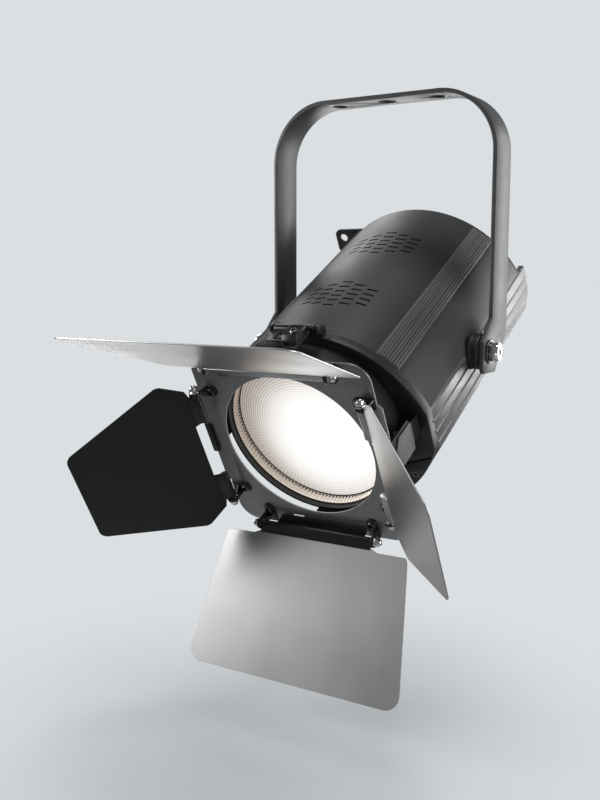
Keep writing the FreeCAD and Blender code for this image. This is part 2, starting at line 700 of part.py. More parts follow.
def power_supply():
    case = block(-82, 24, -112, CHASSIS_PLACE - 0.2, -60, -2)
    slots = [block(-74, 16, -113, -110.5, v, v + 3) for v in (-52, -42, -32, -22, -12)]
    return case.cut(slots)


def control_board():
    board = block(39, 92, -112.6, -111, -30, 32)
    parts = [block(45, 60, -111, -104, -20, -6), block(66, 86, -111, -106, 0, 22),
             block(46, 58, -111, -99, 6, 18)]
    return board.fuse(parts)


save_head("chassis_plate", chassis_plate())
save_head("guide_rods", group([disc(ROD_R, CHASSIS_PLACE + 3, BEZEL_FRONT - BEZEL_WALL, side * ROD_X, ROD_V)
                               for side in (-1, 1)]))
save_head("fan_frame", fan_frame())
save_head("fan_rotor", fan_rotor())
save_head("zoom_motor", zoom_motor())
save_head("lead_screw", disc(SCREW_R, CHASSIS_PLACE + 0.3, 60, SCREW_X, SCREW_V))
save_head("power_supply", power_supply())
save_head("control_board", control_board())


# Zoom carriage: plate on the two rods, with the heat sink behind and the light engine ahead

CARRIAGE_A = 0.0


def zoom_carriage():
    plate = block(-46, 46, CARRIAGE_A, CARRIAGE_A + 4, -60, 44)
    wings = block(-79, 79, CARRIAGE_A, CARRIAGE_A + 4, -63, -46)
    bushes = [disc(7.5, CARRIAGE_A - 10, CARRIAGE_A + 14, side * ROD_X, ROD_V) for side in (-1, 1)]
    body = plate.fuse([wings] + bushes).removeSplitter()
    holes = [disc(ROD_R + RUNNING_GAP, -40, 40, side * ROD_X, ROD_V) for side in (-1, 1)]
    return body.cut(holes + [disc(7.0, -40, 40, SCREW_X, SCREW_V)])


def drive_nut():
    nut = disc(7.0, CARRIAGE_A - 8, CARRIAGE_A + 4, SCREW_X, SCREW_V)
    nut = nut.fuse(disc(10.0, CARRIAGE_A + 4, CARRIAGE_A + 7, SCREW_X, SCREW_V))
    return nut.cut(disc(SCREW_R + 0.08, -40, 40, SCREW_X, SCREW_V))


def heat_sink():
    base = block(-42, 42, CARRIAGE_A - 6, CARRIAGE_A, -40, 42)
    fins = [block(-42 + i * 6.4, -40 + i * 6.4, CARRIAGE_A - 44, CARRIAGE_A - 6, -40, 42)
            for i in range(14)]
    return base.fuse(fins).removeSplitter()


def led_module():
    board = disc(30, CARRIAGE_A + 4, CARRIAGE_A + 6)
    return board.fuse(disc(12, CARRIAGE_A + 6, CARRIAGE_A + 7.2))


def collimator():
    outer = Part.makeCone(36, 16, 38, at(0, CARRIAGE_A + 46, 0), ALONG)
    inner = Part.makeCone(34.5, 14.5, 38, at(0, CARRIAGE_A + 46, 0), ALONG)
    cone = outer.cut(inner)
    return cone.fuse(ring(20, 14.5, CARRIAGE_A + 6, CARRIAGE_A + 8.5)).removeSplitter()


save_head("zoom_carriage", zoom_carriage())
save_head("drive_nut", drive_nut())
save_head("heat_sink", heat_sink())
save_head("led_module", led_module())
save_head("collimator", collimator())


# Barn door: frame plate, lugs and four leaves with rolled hinge edges

def door_frame():
    outline = [
        (-DOOR_HALF, DOOR_TOP, 18), (DOOR_HALF, DOOR_TOP, 18),
        (DOOR_HALF, 55, 0), (DOOR_EAR, 51, 0), (DOOR_EAR, -45, 0), (DOOR_HALF, -49, 0),
        (DOOR_HALF, DOOR_BOTTOM, 18), (-DOOR_HALF, DOOR_BOTTOM, 18),
        (-DOOR_HALF, -49, 0), (-DOOR_EAR, -45, 0), (-DOOR_EAR, 51, 0), (-DOOR_HALF, 55, 0),
    ]
    plate = upright(rounded_face(outline), DOOR_FACE, DOOR_SHEET)
    slot = block(-30, -18, DOOR_FACE - 3, DOOR_FACE + 3, -84.5, -82.5)
    return plate.cut([disc(APERTURE_R, DOOR_FACE - 5, DOOR_FACE + 5), slot])


def leaf_axes(direction):
    """For one side of the frame: outward and along-the-hinge directions in the level head."""
    outward = {"up": Vector(0, 0, 1), "down": Vector(0, 0, -1),
               "left": Vector(-1, 0, 0), "right": Vector(1, 0, 0)}[direction]
    ahead = Vector(0, -1, 0)
    return outward, ahead, outward.cross(ahead)


def seat_on_hinge(shape, direction, distance, opening):
    """Moves a shape drawn along X, reaching out in +Y, to one side's hinge line."""
    outward, ahead, along = leaf_axes(direction)
    turn = math.radians(opening)
    reach = outward * math.cos(turn) + ahead * math.sin(turn)
    normal = along.cross(reach)
    place = at(0, HINGE_AHEAD, 0) + outward * distance
    matrix = FreeCAD.Matrix(
        along.x, reach.x, normal.x, place.x,
        along.y, reach.y, normal.y, place.y,
        along.z, reach.z, normal.z, place.z,
        0, 0, 0, 1)
    placed = shape.copy()
    placed.transformShape(matrix)
    return placed


def hinge_lug(side):
    """One bent lug: a foot on the frame plate and an ear up to the hinge bolt."""
    drop = HINGE_AHEAD - DOOR_FACE
    inner = LUG_PLACE - LUG_THICK / 2
    ear = Part.makeBox(LUG_THICK, 10, drop, Vector(inner, -5, 0))
    ear = ear.fuse(Part.makeCylinder(5, LUG_THICK, Vector(inner, 0, drop), ACROSS))
    foot = Part.makeBox(12, 10, 1.5, Vector(inner - 12 + LUG_THICK, -5, 0))
    rivet = Part.makeCylinder(2.2, 1.2, Vector(inner - 5, 0, 1.5))
    lug = ear.fuse([foot, rivet]).removeSplitter()
    lug = lug.cut(Part.makeCylinder(HINGE_BOLT_R + RUNNING_GAP, 10, Vector(inner - 4, 0, drop), ACROSS))
    if side < 0:
        lug = mirrored(lug)
    lug.translate(Vector(0, 0, -drop))
    return lug


def lug_on_frame(direction, distance, side):
    """Lugs are drawn standing up in +Z, which becomes straight ahead."""
    outward, ahead, along = leaf_axes(direction)
    sideways = ahead.cross(along)
    place = at(0, HINGE_AHEAD, 0) + outward * distance
    matrix = FreeCAD.Matrix(
        along.x, sideways.x, ahead.x, place.x,
        along.y, sideways.y, ahead.y, place.y,
        along.z, sideways.z, ahead.z, place.z,
        0, 0, 0, 1)
    lug = hinge_lug(side)
    lug.transformShape(matrix)
    return lug


LEAF_START = LUG_PLACE - LUG_THICK / 2 - 0.4
BIG_LEAF = [(-112, 138, 14), (112, 138, 14), (96, 9.5, 4), (66, 9.5, 0), (LEAF_START, 6.2, 0),
            (LEAF_START, 1.5, 0), (-LEAF_START, 1.5, 0), (-LEAF_START, 6.2, 0), (-66, 9.5, 0),
            (-96, 9.5, 4)]
SMALL_LEAF = [(-45, 127, 7), (45, 127, 7), (80, 30, 7), (66, 8.5, 0), (LEAF_START, 6.2, 0),
              (LEAF_START, 1.5, 0), (30, 1.5, 0), (28, 9.5, 0), (-28, 9.5, 0), (-30, 1.5, 0),
              (-LEAF_START, 1.5, 0), (-LEAF_START, 6.2, 0), (-66, 8.5, 0), (-80, 30, 7)]


def leaf(outline, rolls):
    sheet = rounded_face(outline, -LEAF_SHEET / 2).extrude(Vector(0, 0, LEAF_SHEET))
    tubes = [Part.makeCylinder(HINGE_R, x1 - x0, Vector(x0, 0, 0), ACROSS) for x0, x1 in rolls]
    ears = [Part.makeCylinder(4.6, 1.6, Vector(x, 0, 0), ACROSS)
            for x in (-LEAF_START, LEAF_START - 1.6)]
    body = sheet.fuse(tubes + ears).removeSplitter()
    bore = Part.makeCylinder(HINGE_BOLT_R, 300, Vector(-150, 0, 0), ACROSS)
    return body.cut(bore)


def hinge_bolt(side):
    """Bolt through the lug into the rolled edge, with a washer and a domed nut outside."""
    inner = LUG_PLACE - LUG_THICK / 2
    outer = LUG_PLACE + LUG_THICK / 2
    shank = Part.makeCylinder(HINGE_BOLT_R, outer + 4 - (inner - 14), Vector(inner - 14, 0, 0), ACROSS)
    washer = Part.makeCylinder(4.4, 1.0, Vector(outer + 0.3, 0, 0), ACROSS)
    flats = [Vector(outer + 1.3, 3.9 * math.cos(math.radians(60 * i)), 3.9 * math.sin(math.radians(60 * i)))
             for i in range(6)]
    nut = extrude_outline(flats, Vector(3.2, 0, 0))
    dome = Part.makeSphere(3.0, Vector(outer + 4.5, 0, 0), ACROSS, 0, 90)
    bolt = shank.fuse([washer, nut, dome])
    return mirrored(bolt) if side < 0 else bolt


save_head("door_frame", door_frame())
save_head("door_lugs", group([lug_on_frame(direction, distance, side)
                              for direction, distance, opening in LEAVES.values()
                              for side in (-1, 1)]))
for name, (direction, distance, opening) in LEAVES.items():
    if name in ("top", "bottom"):
        shape = leaf(BIG_LEAF, [(-LEAF_START, LEAF_START)])
    else:
        shape = leaf(SMALL_LEAF, [(-LEAF_START, -30), (30, LEAF_START)])
    save_head(name + "_leaf", seat_on_hinge(shape, direction, distance, opening))
    bolts = group([seat_on_hinge(hinge_bolt(side), direction, distance, opening) for side in (-1, 1)])
    save_head(name + "_leaf_bolts", bolts)
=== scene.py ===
# %% [markdown]
# # A stage spotlight with a four-leaf barn door
#
# The object is a theatre lamp: a vented housing that tilts in a U-shaped yoke, a stepped lens in a round
# barrel, and a barn door of four thin leaves that trims the beam. Its sizes and its moving bodies come
# from a packed engineering model, which is loaded first and never changed. Everything added here is
# placed from that model, so a piece that is made now fits without any nudging.

# %% Load the frame
import json
import math

import bpy
from mathutils import Matrix, Vector


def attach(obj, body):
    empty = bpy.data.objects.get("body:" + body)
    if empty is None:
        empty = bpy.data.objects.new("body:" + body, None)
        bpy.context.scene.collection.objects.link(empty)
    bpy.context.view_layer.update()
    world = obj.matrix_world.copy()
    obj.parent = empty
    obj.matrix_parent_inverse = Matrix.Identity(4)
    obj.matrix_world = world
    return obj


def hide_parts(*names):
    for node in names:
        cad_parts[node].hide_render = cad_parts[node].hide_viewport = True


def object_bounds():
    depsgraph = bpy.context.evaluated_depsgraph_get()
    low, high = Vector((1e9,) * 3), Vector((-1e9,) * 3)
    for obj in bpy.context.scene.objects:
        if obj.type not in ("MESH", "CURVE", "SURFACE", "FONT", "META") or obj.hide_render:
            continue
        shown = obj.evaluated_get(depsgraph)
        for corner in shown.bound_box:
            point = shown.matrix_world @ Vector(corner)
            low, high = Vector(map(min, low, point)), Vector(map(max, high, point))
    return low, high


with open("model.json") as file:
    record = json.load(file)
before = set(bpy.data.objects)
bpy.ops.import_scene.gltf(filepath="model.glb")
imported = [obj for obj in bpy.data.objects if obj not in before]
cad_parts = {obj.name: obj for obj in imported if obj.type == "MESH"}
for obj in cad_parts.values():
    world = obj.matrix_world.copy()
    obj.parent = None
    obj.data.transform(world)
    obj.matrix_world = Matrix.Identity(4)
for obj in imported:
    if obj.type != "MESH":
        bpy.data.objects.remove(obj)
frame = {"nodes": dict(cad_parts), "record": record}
cad_low, cad_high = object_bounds()
record = frame["record"]
joints = {joint["name"]: joint for joint in record["behaviour"]["joints"]}
body_of = {node: body for body, nodes in record["behaviour"]["bodies"].items() for node in nodes}

# %% [markdown]
# The head hangs nose-down, which is awkward to model in. So each piece of the head is drawn level, with
# X across the head, Y towards its back and Z up from the lens axis, and one matrix then carries it to its
# place. The matrix is built from the joints of the model: the tilt pivot gives the place, the zoom slide
# gives the direction of the light, and the lift of the barn door gives the head's own upward direction.

# %% The head's own axes
MM = 0.001
LENS_AXIS_DROP = 5 * MM
pivot = Vector(joints["head_tilt"]["pos_m"])
across = Vector(joints["head_tilt"]["axis"])
ahead = Vector(joints["zoom_slide"]["axis"])
upward = Vector(joints["door_lift"]["axis"])
lens_axis = pivot - upward * LENS_AXIS_DROP


def axes_at(place, x_axis, y_axis, z_axis):
    """The matrix that carries a piece drawn at the origin to a place, turned to three directions."""
    turned_axes = Matrix((x_axis, y_axis, z_axis)).transposed().to_4x4()
    turned_axes.translation = place
    return turned_axes


HEAD = axes_at(lens_axis, across, -ahead, upward)
head_tilt_degrees = math.degrees(math.asin(-ahead.z))
print(f"the head points {head_tilt_degrees:.0f} degrees below level")

# %% [markdown]
# ## The camera, the floor and the light
#
# A black object is lit against a pale sweep, mostly by large soft lights at its sides. Weaker ones
# stand behind and above it. The sides then get long soft highlights while the top stays dark, which is
# what makes black paint read as black. The camera stands to the right and a little above.

# %% Camera
LENS_MM = 42.2
CAMERA_PLACE = (0.4334, -0.8610, -0.1723)
CAMERA_TARGET = (-0.0863, -0.0250, -0.3054)
camera_data = bpy.data.cameras.new("camera")
camera_data.lens = LENS_MM
camera = bpy.data.objects.new("camera", camera_data)
bpy.context.collection.objects.link(camera)
camera.location = CAMERA_PLACE
look_at = Vector(CAMERA_TARGET)
camera.rotation_euler = (look_at - camera.location).to_track_quat("-Z", "Y").to_euler()
bpy.context.scene.camera = camera
print(f"camera {(look_at - camera.location).length:.2f} m from what it looks at")

# %% Floor
FLOOR_GAP = 0.05
FLOOR_RADIUS = 1.6
floor_height = cad_low.z - FLOOR_GAP
bpy.ops.object.select_all(action="DESELECT")
bpy.ops.mesh.primitive_circle_add(vertices=96, radius=FLOOR_RADIUS, fill_type="NGON",
                                  location=(0, 0, floor_height))
floor = bpy.context.object
floor.name = "floor"
print(f"floor at {floor_height:.3f} m")


# %% Lights
def soft_light(name, place, target, width, height, watts, colour=(1, 1, 1)):
    """A rectangular soft box, turned to face its target."""
    data = bpy.data.lights.new(name, "AREA")
    data.shape = "RECTANGLE"
    data.size, data.size_y = width, height
    data.energy = watts
    data.color = colour
    light = bpy.data.objects.new(name, data)
    bpy.context.collection.objects.link(light)
    light.location = place
    light.rotation_euler = (Vector(target) - Vector(place)).to_track_quat("-Z", "Y").to_euler()
    light.visible_camera = False
    return light


middle = (0, -0.1, -0.25)
soft_light("right_box", (1.35, -0.15, -0.05), middle, 0.9, 1.2, 11)
soft_light("right_back", (0.66, 1.36, -0.10), middle, 0.7, 1.1, 9.5)
soft_light("left_front", (-1.30, -1.02, 0.10), middle, 0.5, 0.6, 11)
soft_light("left_back", (-0.87, 0.87, 0.60), middle, 0.7, 0.7, 4)
soft_light("back_low", (-0.64, 1.25, -0.36), (0, 0, 0), 0.35, 0.2, 1.6)
soft_light("low_left", (-0.80, 0.42, -0.44), (-0.05, -0.27, -0.25), 0.35, 0.25, 1.6)
soft_light("overhead", (0.05, -0.1, 1.3), middle, 0.6, 0.6, 7)
print("seven soft lights")

# %% World
PALE = (0.708, 0.737, 0.760, 1)
WORLD_LIGHT = 0.22
world = bpy.data.worlds.new("studio")
bpy.context.scene.world = world
world.use_nodes = True
world_nodes, world_links = world.node_tree.nodes, world.node_tree.links
world_nodes.clear()
seen = world_nodes.new("ShaderNodeBackground")
seen.inputs["Color"].default_value = PALE
lighting = world_nodes.new("ShaderNodeBackground")
lighting.inputs["Color"].default_value = PALE
lighting.inputs["Strength"].default_value = WORLD_LIGHT
camera_ray = world_nodes.new("ShaderNodeLightPath")
choose = world_nodes.new("ShaderNodeMixShader")
world_out = world_nodes.new("ShaderNodeOutputWorld")
world_links.new(camera_ray.outputs["Is Camera Ray"], choose.inputs["Fac"])
world_links.new(lighting.outputs[0], choose.inputs[1])
world_links.new(seen.outputs[0], choose.inputs[2])
world_links.new(choose.outputs[0], world_out.inputs["Surface"])
bpy.context.scene.view_settings.view_transform = "Standard"
print("pale studio world")

# %% [markdown]
# ## Finishes
#
# Nearly everything here is painted or plated metal, so two effects are shared by many finishes: the fine
# pebble of powder coat and the long scratches of brushed sheet. Each is a small node group that only
# gives values. The shader itself stays in each material, with its constant numbers on its own sockets,
# where another program can read them.


# %% Node group helpers
def new_group(name, inputs, outputs):
    """An empty shader group with float or vector sockets, and its input and output nodes."""
    group = bpy.data.node_groups.new(name, "ShaderNodeTree")
    for label, kind, value in inputs:
        socket = group.interface.new_socket(name=label, in_out="INPUT", socket_type=kind)
        if value is not None:
            socket.default_value = value
    for label in outputs:
        group.interface.new_socket(name=label, in_out="OUTPUT", socket_type="NodeSocketFloat")
    return group, group.nodes.new("NodeGroupInput"), group.nodes.new("NodeGroupOutput")


def noise(nodes, links, vector, scale, detail=2.0):
    """A noise texture whose scale may be a number or another node's output."""
    texture = nodes.new("ShaderNodeTexNoise")
    texture.inputs["Detail"].default_value = detail
    if isinstance(scale, (int, float)):
        texture.inputs["Scale"].default_value = scale
    else:
        links.new(scale, texture.inputs["Scale"])
    links.new(vector, texture.inputs["Vector"])
    return texture.outputs["Fac"]


NOISE_LOW, NOISE_HIGH = 0.3, 0.7


def scaled(nodes, links, value, low, high):
    """Maps a texture's useful middle range to low..high."""
    node = nodes.new("ShaderNodeMapRange")
    node.inputs["From Min"].default_value = NOISE_LOW
    node.inputs["From Max"].default_value = NOISE_HIGH
    for label, limit in (("To Min", low), ("To Max", high)):
        if isinstance(limit, (int, float)):
            node.inputs[label].default_value = limit
        else:
            links.new(limit, node.inputs[label])
    links.new(value, node.inputs["Value"])
    return node.outputs["Result"]


# %% Powder coat group
def make_powder_group():
    """Pebbled paint: a fine height, a slow change of roughness and a slow change of shade."""
    group, given, out = new_group("powder_coat", [
        ("Vector", "NodeSocketVector", None), ("Pebble Scale", "NodeSocketFloat", 1500.0),
        ("Rough Low", "NodeSocketFloat", 0.4), ("Rough High", "NodeSocketFloat", 0.5),
    ], ["Height", "Roughness", "Shade"])
    nodes, links = group.nodes, group.links
    pebble = noise(nodes, links, given.outputs["Vector"], given.outputs["Pebble Scale"], 3.0)
    links.new(pebble, out.inputs["Height"])
    cloud = noise(nodes, links, given.outputs["Vector"], 28.0, 4.0)
    links.new(scaled(nodes, links, cloud, given.outputs["Rough Low"], given.outputs["Rough High"]),
              out.inputs["Roughness"])
    drift = noise(nodes, links, given.outputs["Vector"], 9.0, 2.0)
    links.new(scaled(nodes, links, drift, 0.9, 1.1), out.inputs["Shade"])
    return group


powder_group = make_powder_group()
print("group", powder_group.name)


# %% Brushed sheet group
def make_brushed_group():
    """Fine scratches along one direction, given by how much the vector is stretched."""
    group, given, out = new_group("brushed_sheet", [
        ("Vector", "NodeSocketVector", None), ("Rough Low", "NodeSocketFloat", 0.3),
        ("Rough High", "NodeSocketFloat", 0.4),
    ], ["Height", "Roughness", "Shade"])
    nodes, links = group.nodes, group.links
    fine = noise(nodes, links, given.outputs["Vector"], 900.0, 3.0)
    links.new(fine, out.inputs["Height"])
    broad = noise(nodes, links, given.outputs["Vector"], 160.0, 3.0)
    links.new(scaled(nodes, links, broad, given.outputs["Rough Low"], given.outputs["Rough High"]),
              out.inputs["Roughness"])
    links.new(scaled(nodes, links, fine, 0.93, 1.07), out.inputs["Shade"])
    return group


brushed_group = make_brushed_group()
print("group", brushed_group.name)


# %% Build a finish
def new_material(name):
    material = bpy.data.materials.new(name)
    material.use_nodes = True
    nodes, links = material.node_tree.nodes, material.node_tree.links
    return material, nodes, links, nodes["Principled BSDF"]


def shaded_colour(nodes, links, shade, colour):
    """The base colour times a slowly changing shade."""
    tint = nodes.new("ShaderNodeVectorMath")
    tint.operation = "SCALE"
    tint.inputs[0].default_value = colour
    links.new(shade, tint.inputs["Scale"])
    return tint.outputs["Vector"]


def grouped_finish(name, group, colour, rough, metallic, bump_mm, stretch=(1, 1, 1), turn=(0, 0, 0),
                   coat=0.0, values=()):
    """A finish made from one of the shared groups, with its own colour, roughness and metal."""
    material, nodes, links, shader = new_material(name)
    coordinates = nodes.new("ShaderNodeTexCoord")
    mapping = nodes.new("ShaderNodeMapping")
    mapping.inputs["Rotation"].default_value = turn
    mapping.inputs["Scale"].default_value = stretch
    links.new(coordinates.outputs["Object"], mapping.inputs["Vector"])
    effect = nodes.new("ShaderNodeGroup")
    effect.node_tree = group
    links.new(mapping.outputs["Vector"], effect.inputs["Vector"])
    effect.inputs["Rough Low"].default_value = rough[0]
    effect.inputs["Rough High"].default_value = rough[1]
    for label, value in values:
        effect.inputs[label].default_value = value
    links.new(effect.outputs["Roughness"], shader.inputs["Roughness"])
    links.new(shaded_colour(nodes, links, effect.outputs["Shade"], colour), shader.inputs["Base Color"])
    bump = nodes.new("ShaderNodeBump")
    bump.inputs["Strength"].default_value = 1.0
    bump.inputs["Distance"].default_value = bump_mm * MM
    links.new(effect.outputs["Height"], bump.inputs["Height"])
    links.new(bump.outputs["Normal"], shader.inputs["Normal"])
    shader.inputs["Metallic"].default_value = metallic
    shader.inputs["Coat Weight"].default_value = coat
    return material


def paint(name, colour, rough, metallic=0.0, bump_mm=0.02, coat=0.0, pebble=1500.0):
    return grouped_finish(name, powder_group, colour, rough, metallic, bump_mm, coat=coat,
                          values=[("Pebble Scale", pebble)])


def brushed(name, colour, rough, stretch, metallic=1.0, bump_mm=0.006):
    """Scratches run along the axis with the small stretch, in the head's own directions."""
    lean = (math.radians(-head_tilt_degrees), 0, 0)
    return grouped_finish(name, brushed_group, colour, rough, metallic, bump_mm, stretch, lean)


# %% The painted and plated finishes
housing_paint = paint("housing_paint", (0.028, 0.028, 0.030), (0.40, 0.48))
side_paint = paint("side_paint", (0.040, 0.040, 0.042), (0.42, 0.50))
# The yoke's black paint is given a lighter base than the housing's, as painted light.
yoke_paint = paint("yoke_paint", (0.072, 0.072, 0.074), (0.38, 0.46))
strip_paint = paint("strip_paint", (0.10, 0.10, 0.102), (0.34, 0.42))
bezel_paint = paint("bezel_paint", (0.020, 0.020, 0.021), (0.38, 0.48), bump_mm=0.03)
rail_metal = brushed("rail_metal", (0.20, 0.20, 0.205), (0.34, 0.44), (1, 0.04, 1), metallic=0.8)
bracket_black = paint("bracket_black", (0.022, 0.022, 0.022), (0.28, 0.38), metallic=0.3, bump_mm=0.01)
door_sheet = brushed("door_sheet", (0.24, 0.24, 0.24), (0.36, 0.44), (0.05, 1, 1), metallic=0.85)
# The leaves are one sheet finish in lit and shaded copies: the light satin metal next is painted sheen,
# and the matt black after it painted shade.
leaf_painted_sheen = paint("leaf_painted_sheen", (0.52, 0.515, 0.51), (0.36, 0.40), metallic=1.0, bump_mm=0.0012,
                   pebble=2600)
leaf_painted_shade = paint("leaf_painted_shade", (0.007, 0.007, 0.007), (0.55, 0.6), bump_mm=0.01)
# The clips' satin finish is made lighter than the other black fittings, as painted light.
clip_satin_painted_light = paint("clip_satin_painted_light", (0.045, 0.045, 0.045), (0.36, 0.44), metallic=0.6, bump_mm=0.006)
barrel_black = paint("barrel_black", (0.010, 0.010, 0.010), (0.5, 0.6), bump_mm=0.01)
bright_metal = paint("bright_metal", (0.80, 0.80, 0.79), (0.10, 0.18), metallic=1.0, bump_mm=0.002,
                     pebble=600)
screw_black = paint("screw_black", (0.03, 0.03, 0.03), (0.25, 0.35), metallic=0.6, bump_mm=0.004)
screw_steel = paint("screw_steel", (0.16, 0.16, 0.16), (0.22, 0.3), metallic=0.9, bump_mm=0.003)
rubber_black = paint("rubber_black", (0.018, 0.018, 0.018), (0.6, 0.7), bump_mm=0.02)
moulded_black = paint("moulded_black", (0.022, 0.022, 0.022), (0.42, 0.5), bump_mm=0.015, pebble=2500)
moulded_blue = paint("moulded_blue", (0.02, 0.07, 0.30), (0.38, 0.46), bump_mm=0.015, pebble=2500)
moulded_grey = paint("moulded_grey", (0.42, 0.43, 0.44), (0.38, 0.46), bump_mm=0.015, pebble=2500)
plain_metal = brushed("plain_metal", (0.62, 0.62, 0.62), (0.25, 0.35), (0.05, 1, 1))
ground_steel = brushed("ground_steel", (0.66, 0.66, 0.66), (0.15, 0.22), (1, 0.05, 1))
retainer_metal = brushed("retainer_metal", (0.66, 0.62, 0.58), (0.30, 0.40), (1, 0.2, 1))
board_green = paint("board_green", (0.02, 0.12, 0.05), (0.3, 0.4), coat=0.3, bump_mm=0.005)
brass_metal = brushed("brass_metal", (0.72, 0.5, 0.2), (0.2, 0.3), (1, 0.1, 1))
white_resist = paint("white_resist", (0.8, 0.8, 0.76), (0.3, 0.4), bump_mm=0.004)
mirror_metal = paint("mirror_metal", (0.92, 0.92, 0.92), (0.04, 0.07), metallic=1.0, bump_mm=0.001)
dark_window = paint("dark_window", (0.010, 0.014, 0.022), (0.06, 0.1), coat=1.0, bump_mm=0.001)
print(len(bpy.data.materials), "finishes so far")


# %% The floor's finish
SHADOW_POOL = (-0.02, -0.18, 0)
POOL_START, POOL_END = 0.02, 0.42
PAPER = (0.70, 0.73, 0.75)


def make_floor_finish():
    """Pale matt paper that melts into the background with distance."""
    material, nodes, links, shader = new_material("pale_floor")
    shader.inputs["Roughness"].default_value = 0.9
    shader.inputs["Specular IOR Level"].default_value = 0.0
    coordinates = nodes.new("ShaderNodeTexCoord")
    drift = noise(nodes, links, coordinates.outputs["Object"], 3.0)
    shade = scaled(nodes, links, drift, 0.99, 1.01)
    links.new(shaded_colour(nodes, links, shade, PAPER), shader.inputs["Base Color"])
    from_pool = nodes.new("ShaderNodeVectorMath")
    from_pool.operation = "SUBTRACT"
    from_pool.inputs[1].default_value = SHADOW_POOL
    links.new(coordinates.outputs["Object"], from_pool.inputs[0])
    distance = nodes.new("ShaderNodeVectorMath")
    distance.operation = "LENGTH"
    links.new(from_pool.outputs["Vector"], distance.inputs[0])
    fade = nodes.new("ShaderNodeMapRange")
    fade.interpolation_type = "SMOOTHSTEP"
    fade.inputs["From Min"].default_value = POOL_START
    fade.inputs["From Max"].default_value = POOL_END
    fade.inputs["To Min"].default_value = 1.0
    fade.inputs["To Max"].default_value = 0.0
    links.new(distance.outputs["Value"], fade.inputs["Value"])
    links.new(fade.outputs["Result"], shader.inputs["Alpha"])
    return material


floor.data.materials.append(make_floor_finish())
print("floor finish fades out with distance")

# %% [markdown]
# The lens glows. A stepped lens is a stack of concentric prisms in front, and a field of small dimples
# behind that smooths the beam. When the lamp is on, both show as a pattern in the light: rings over most
# of the face, crossed by a fine dot pattern, and a hot spot off centre where the light engine is seen.

# %% The glowing lens
STEP_PITCH = 2.6
RING_PITCH = STEP_PITCH * MM
SPOKE_COUNT = 116
HOT_SPOT = (15 * MM, -9 * MM)
HOT_RADIUS = 74 * MM
HOT_CORE, HOT_EDGE = 0.36, 1.26
GLOW_CENTRE, GLOW_MIDDLE = (1.0, 1.0, 1.0, 1), (0.80, 0.77, 0.73, 1)
GLOW_RIM = (0.34, 0.295, 0.26, 1)
PATTERN_CENTRE, PATTERN_GAIN = 0.06, 0.62
LIGHT_ON_LEAVES = 0.9


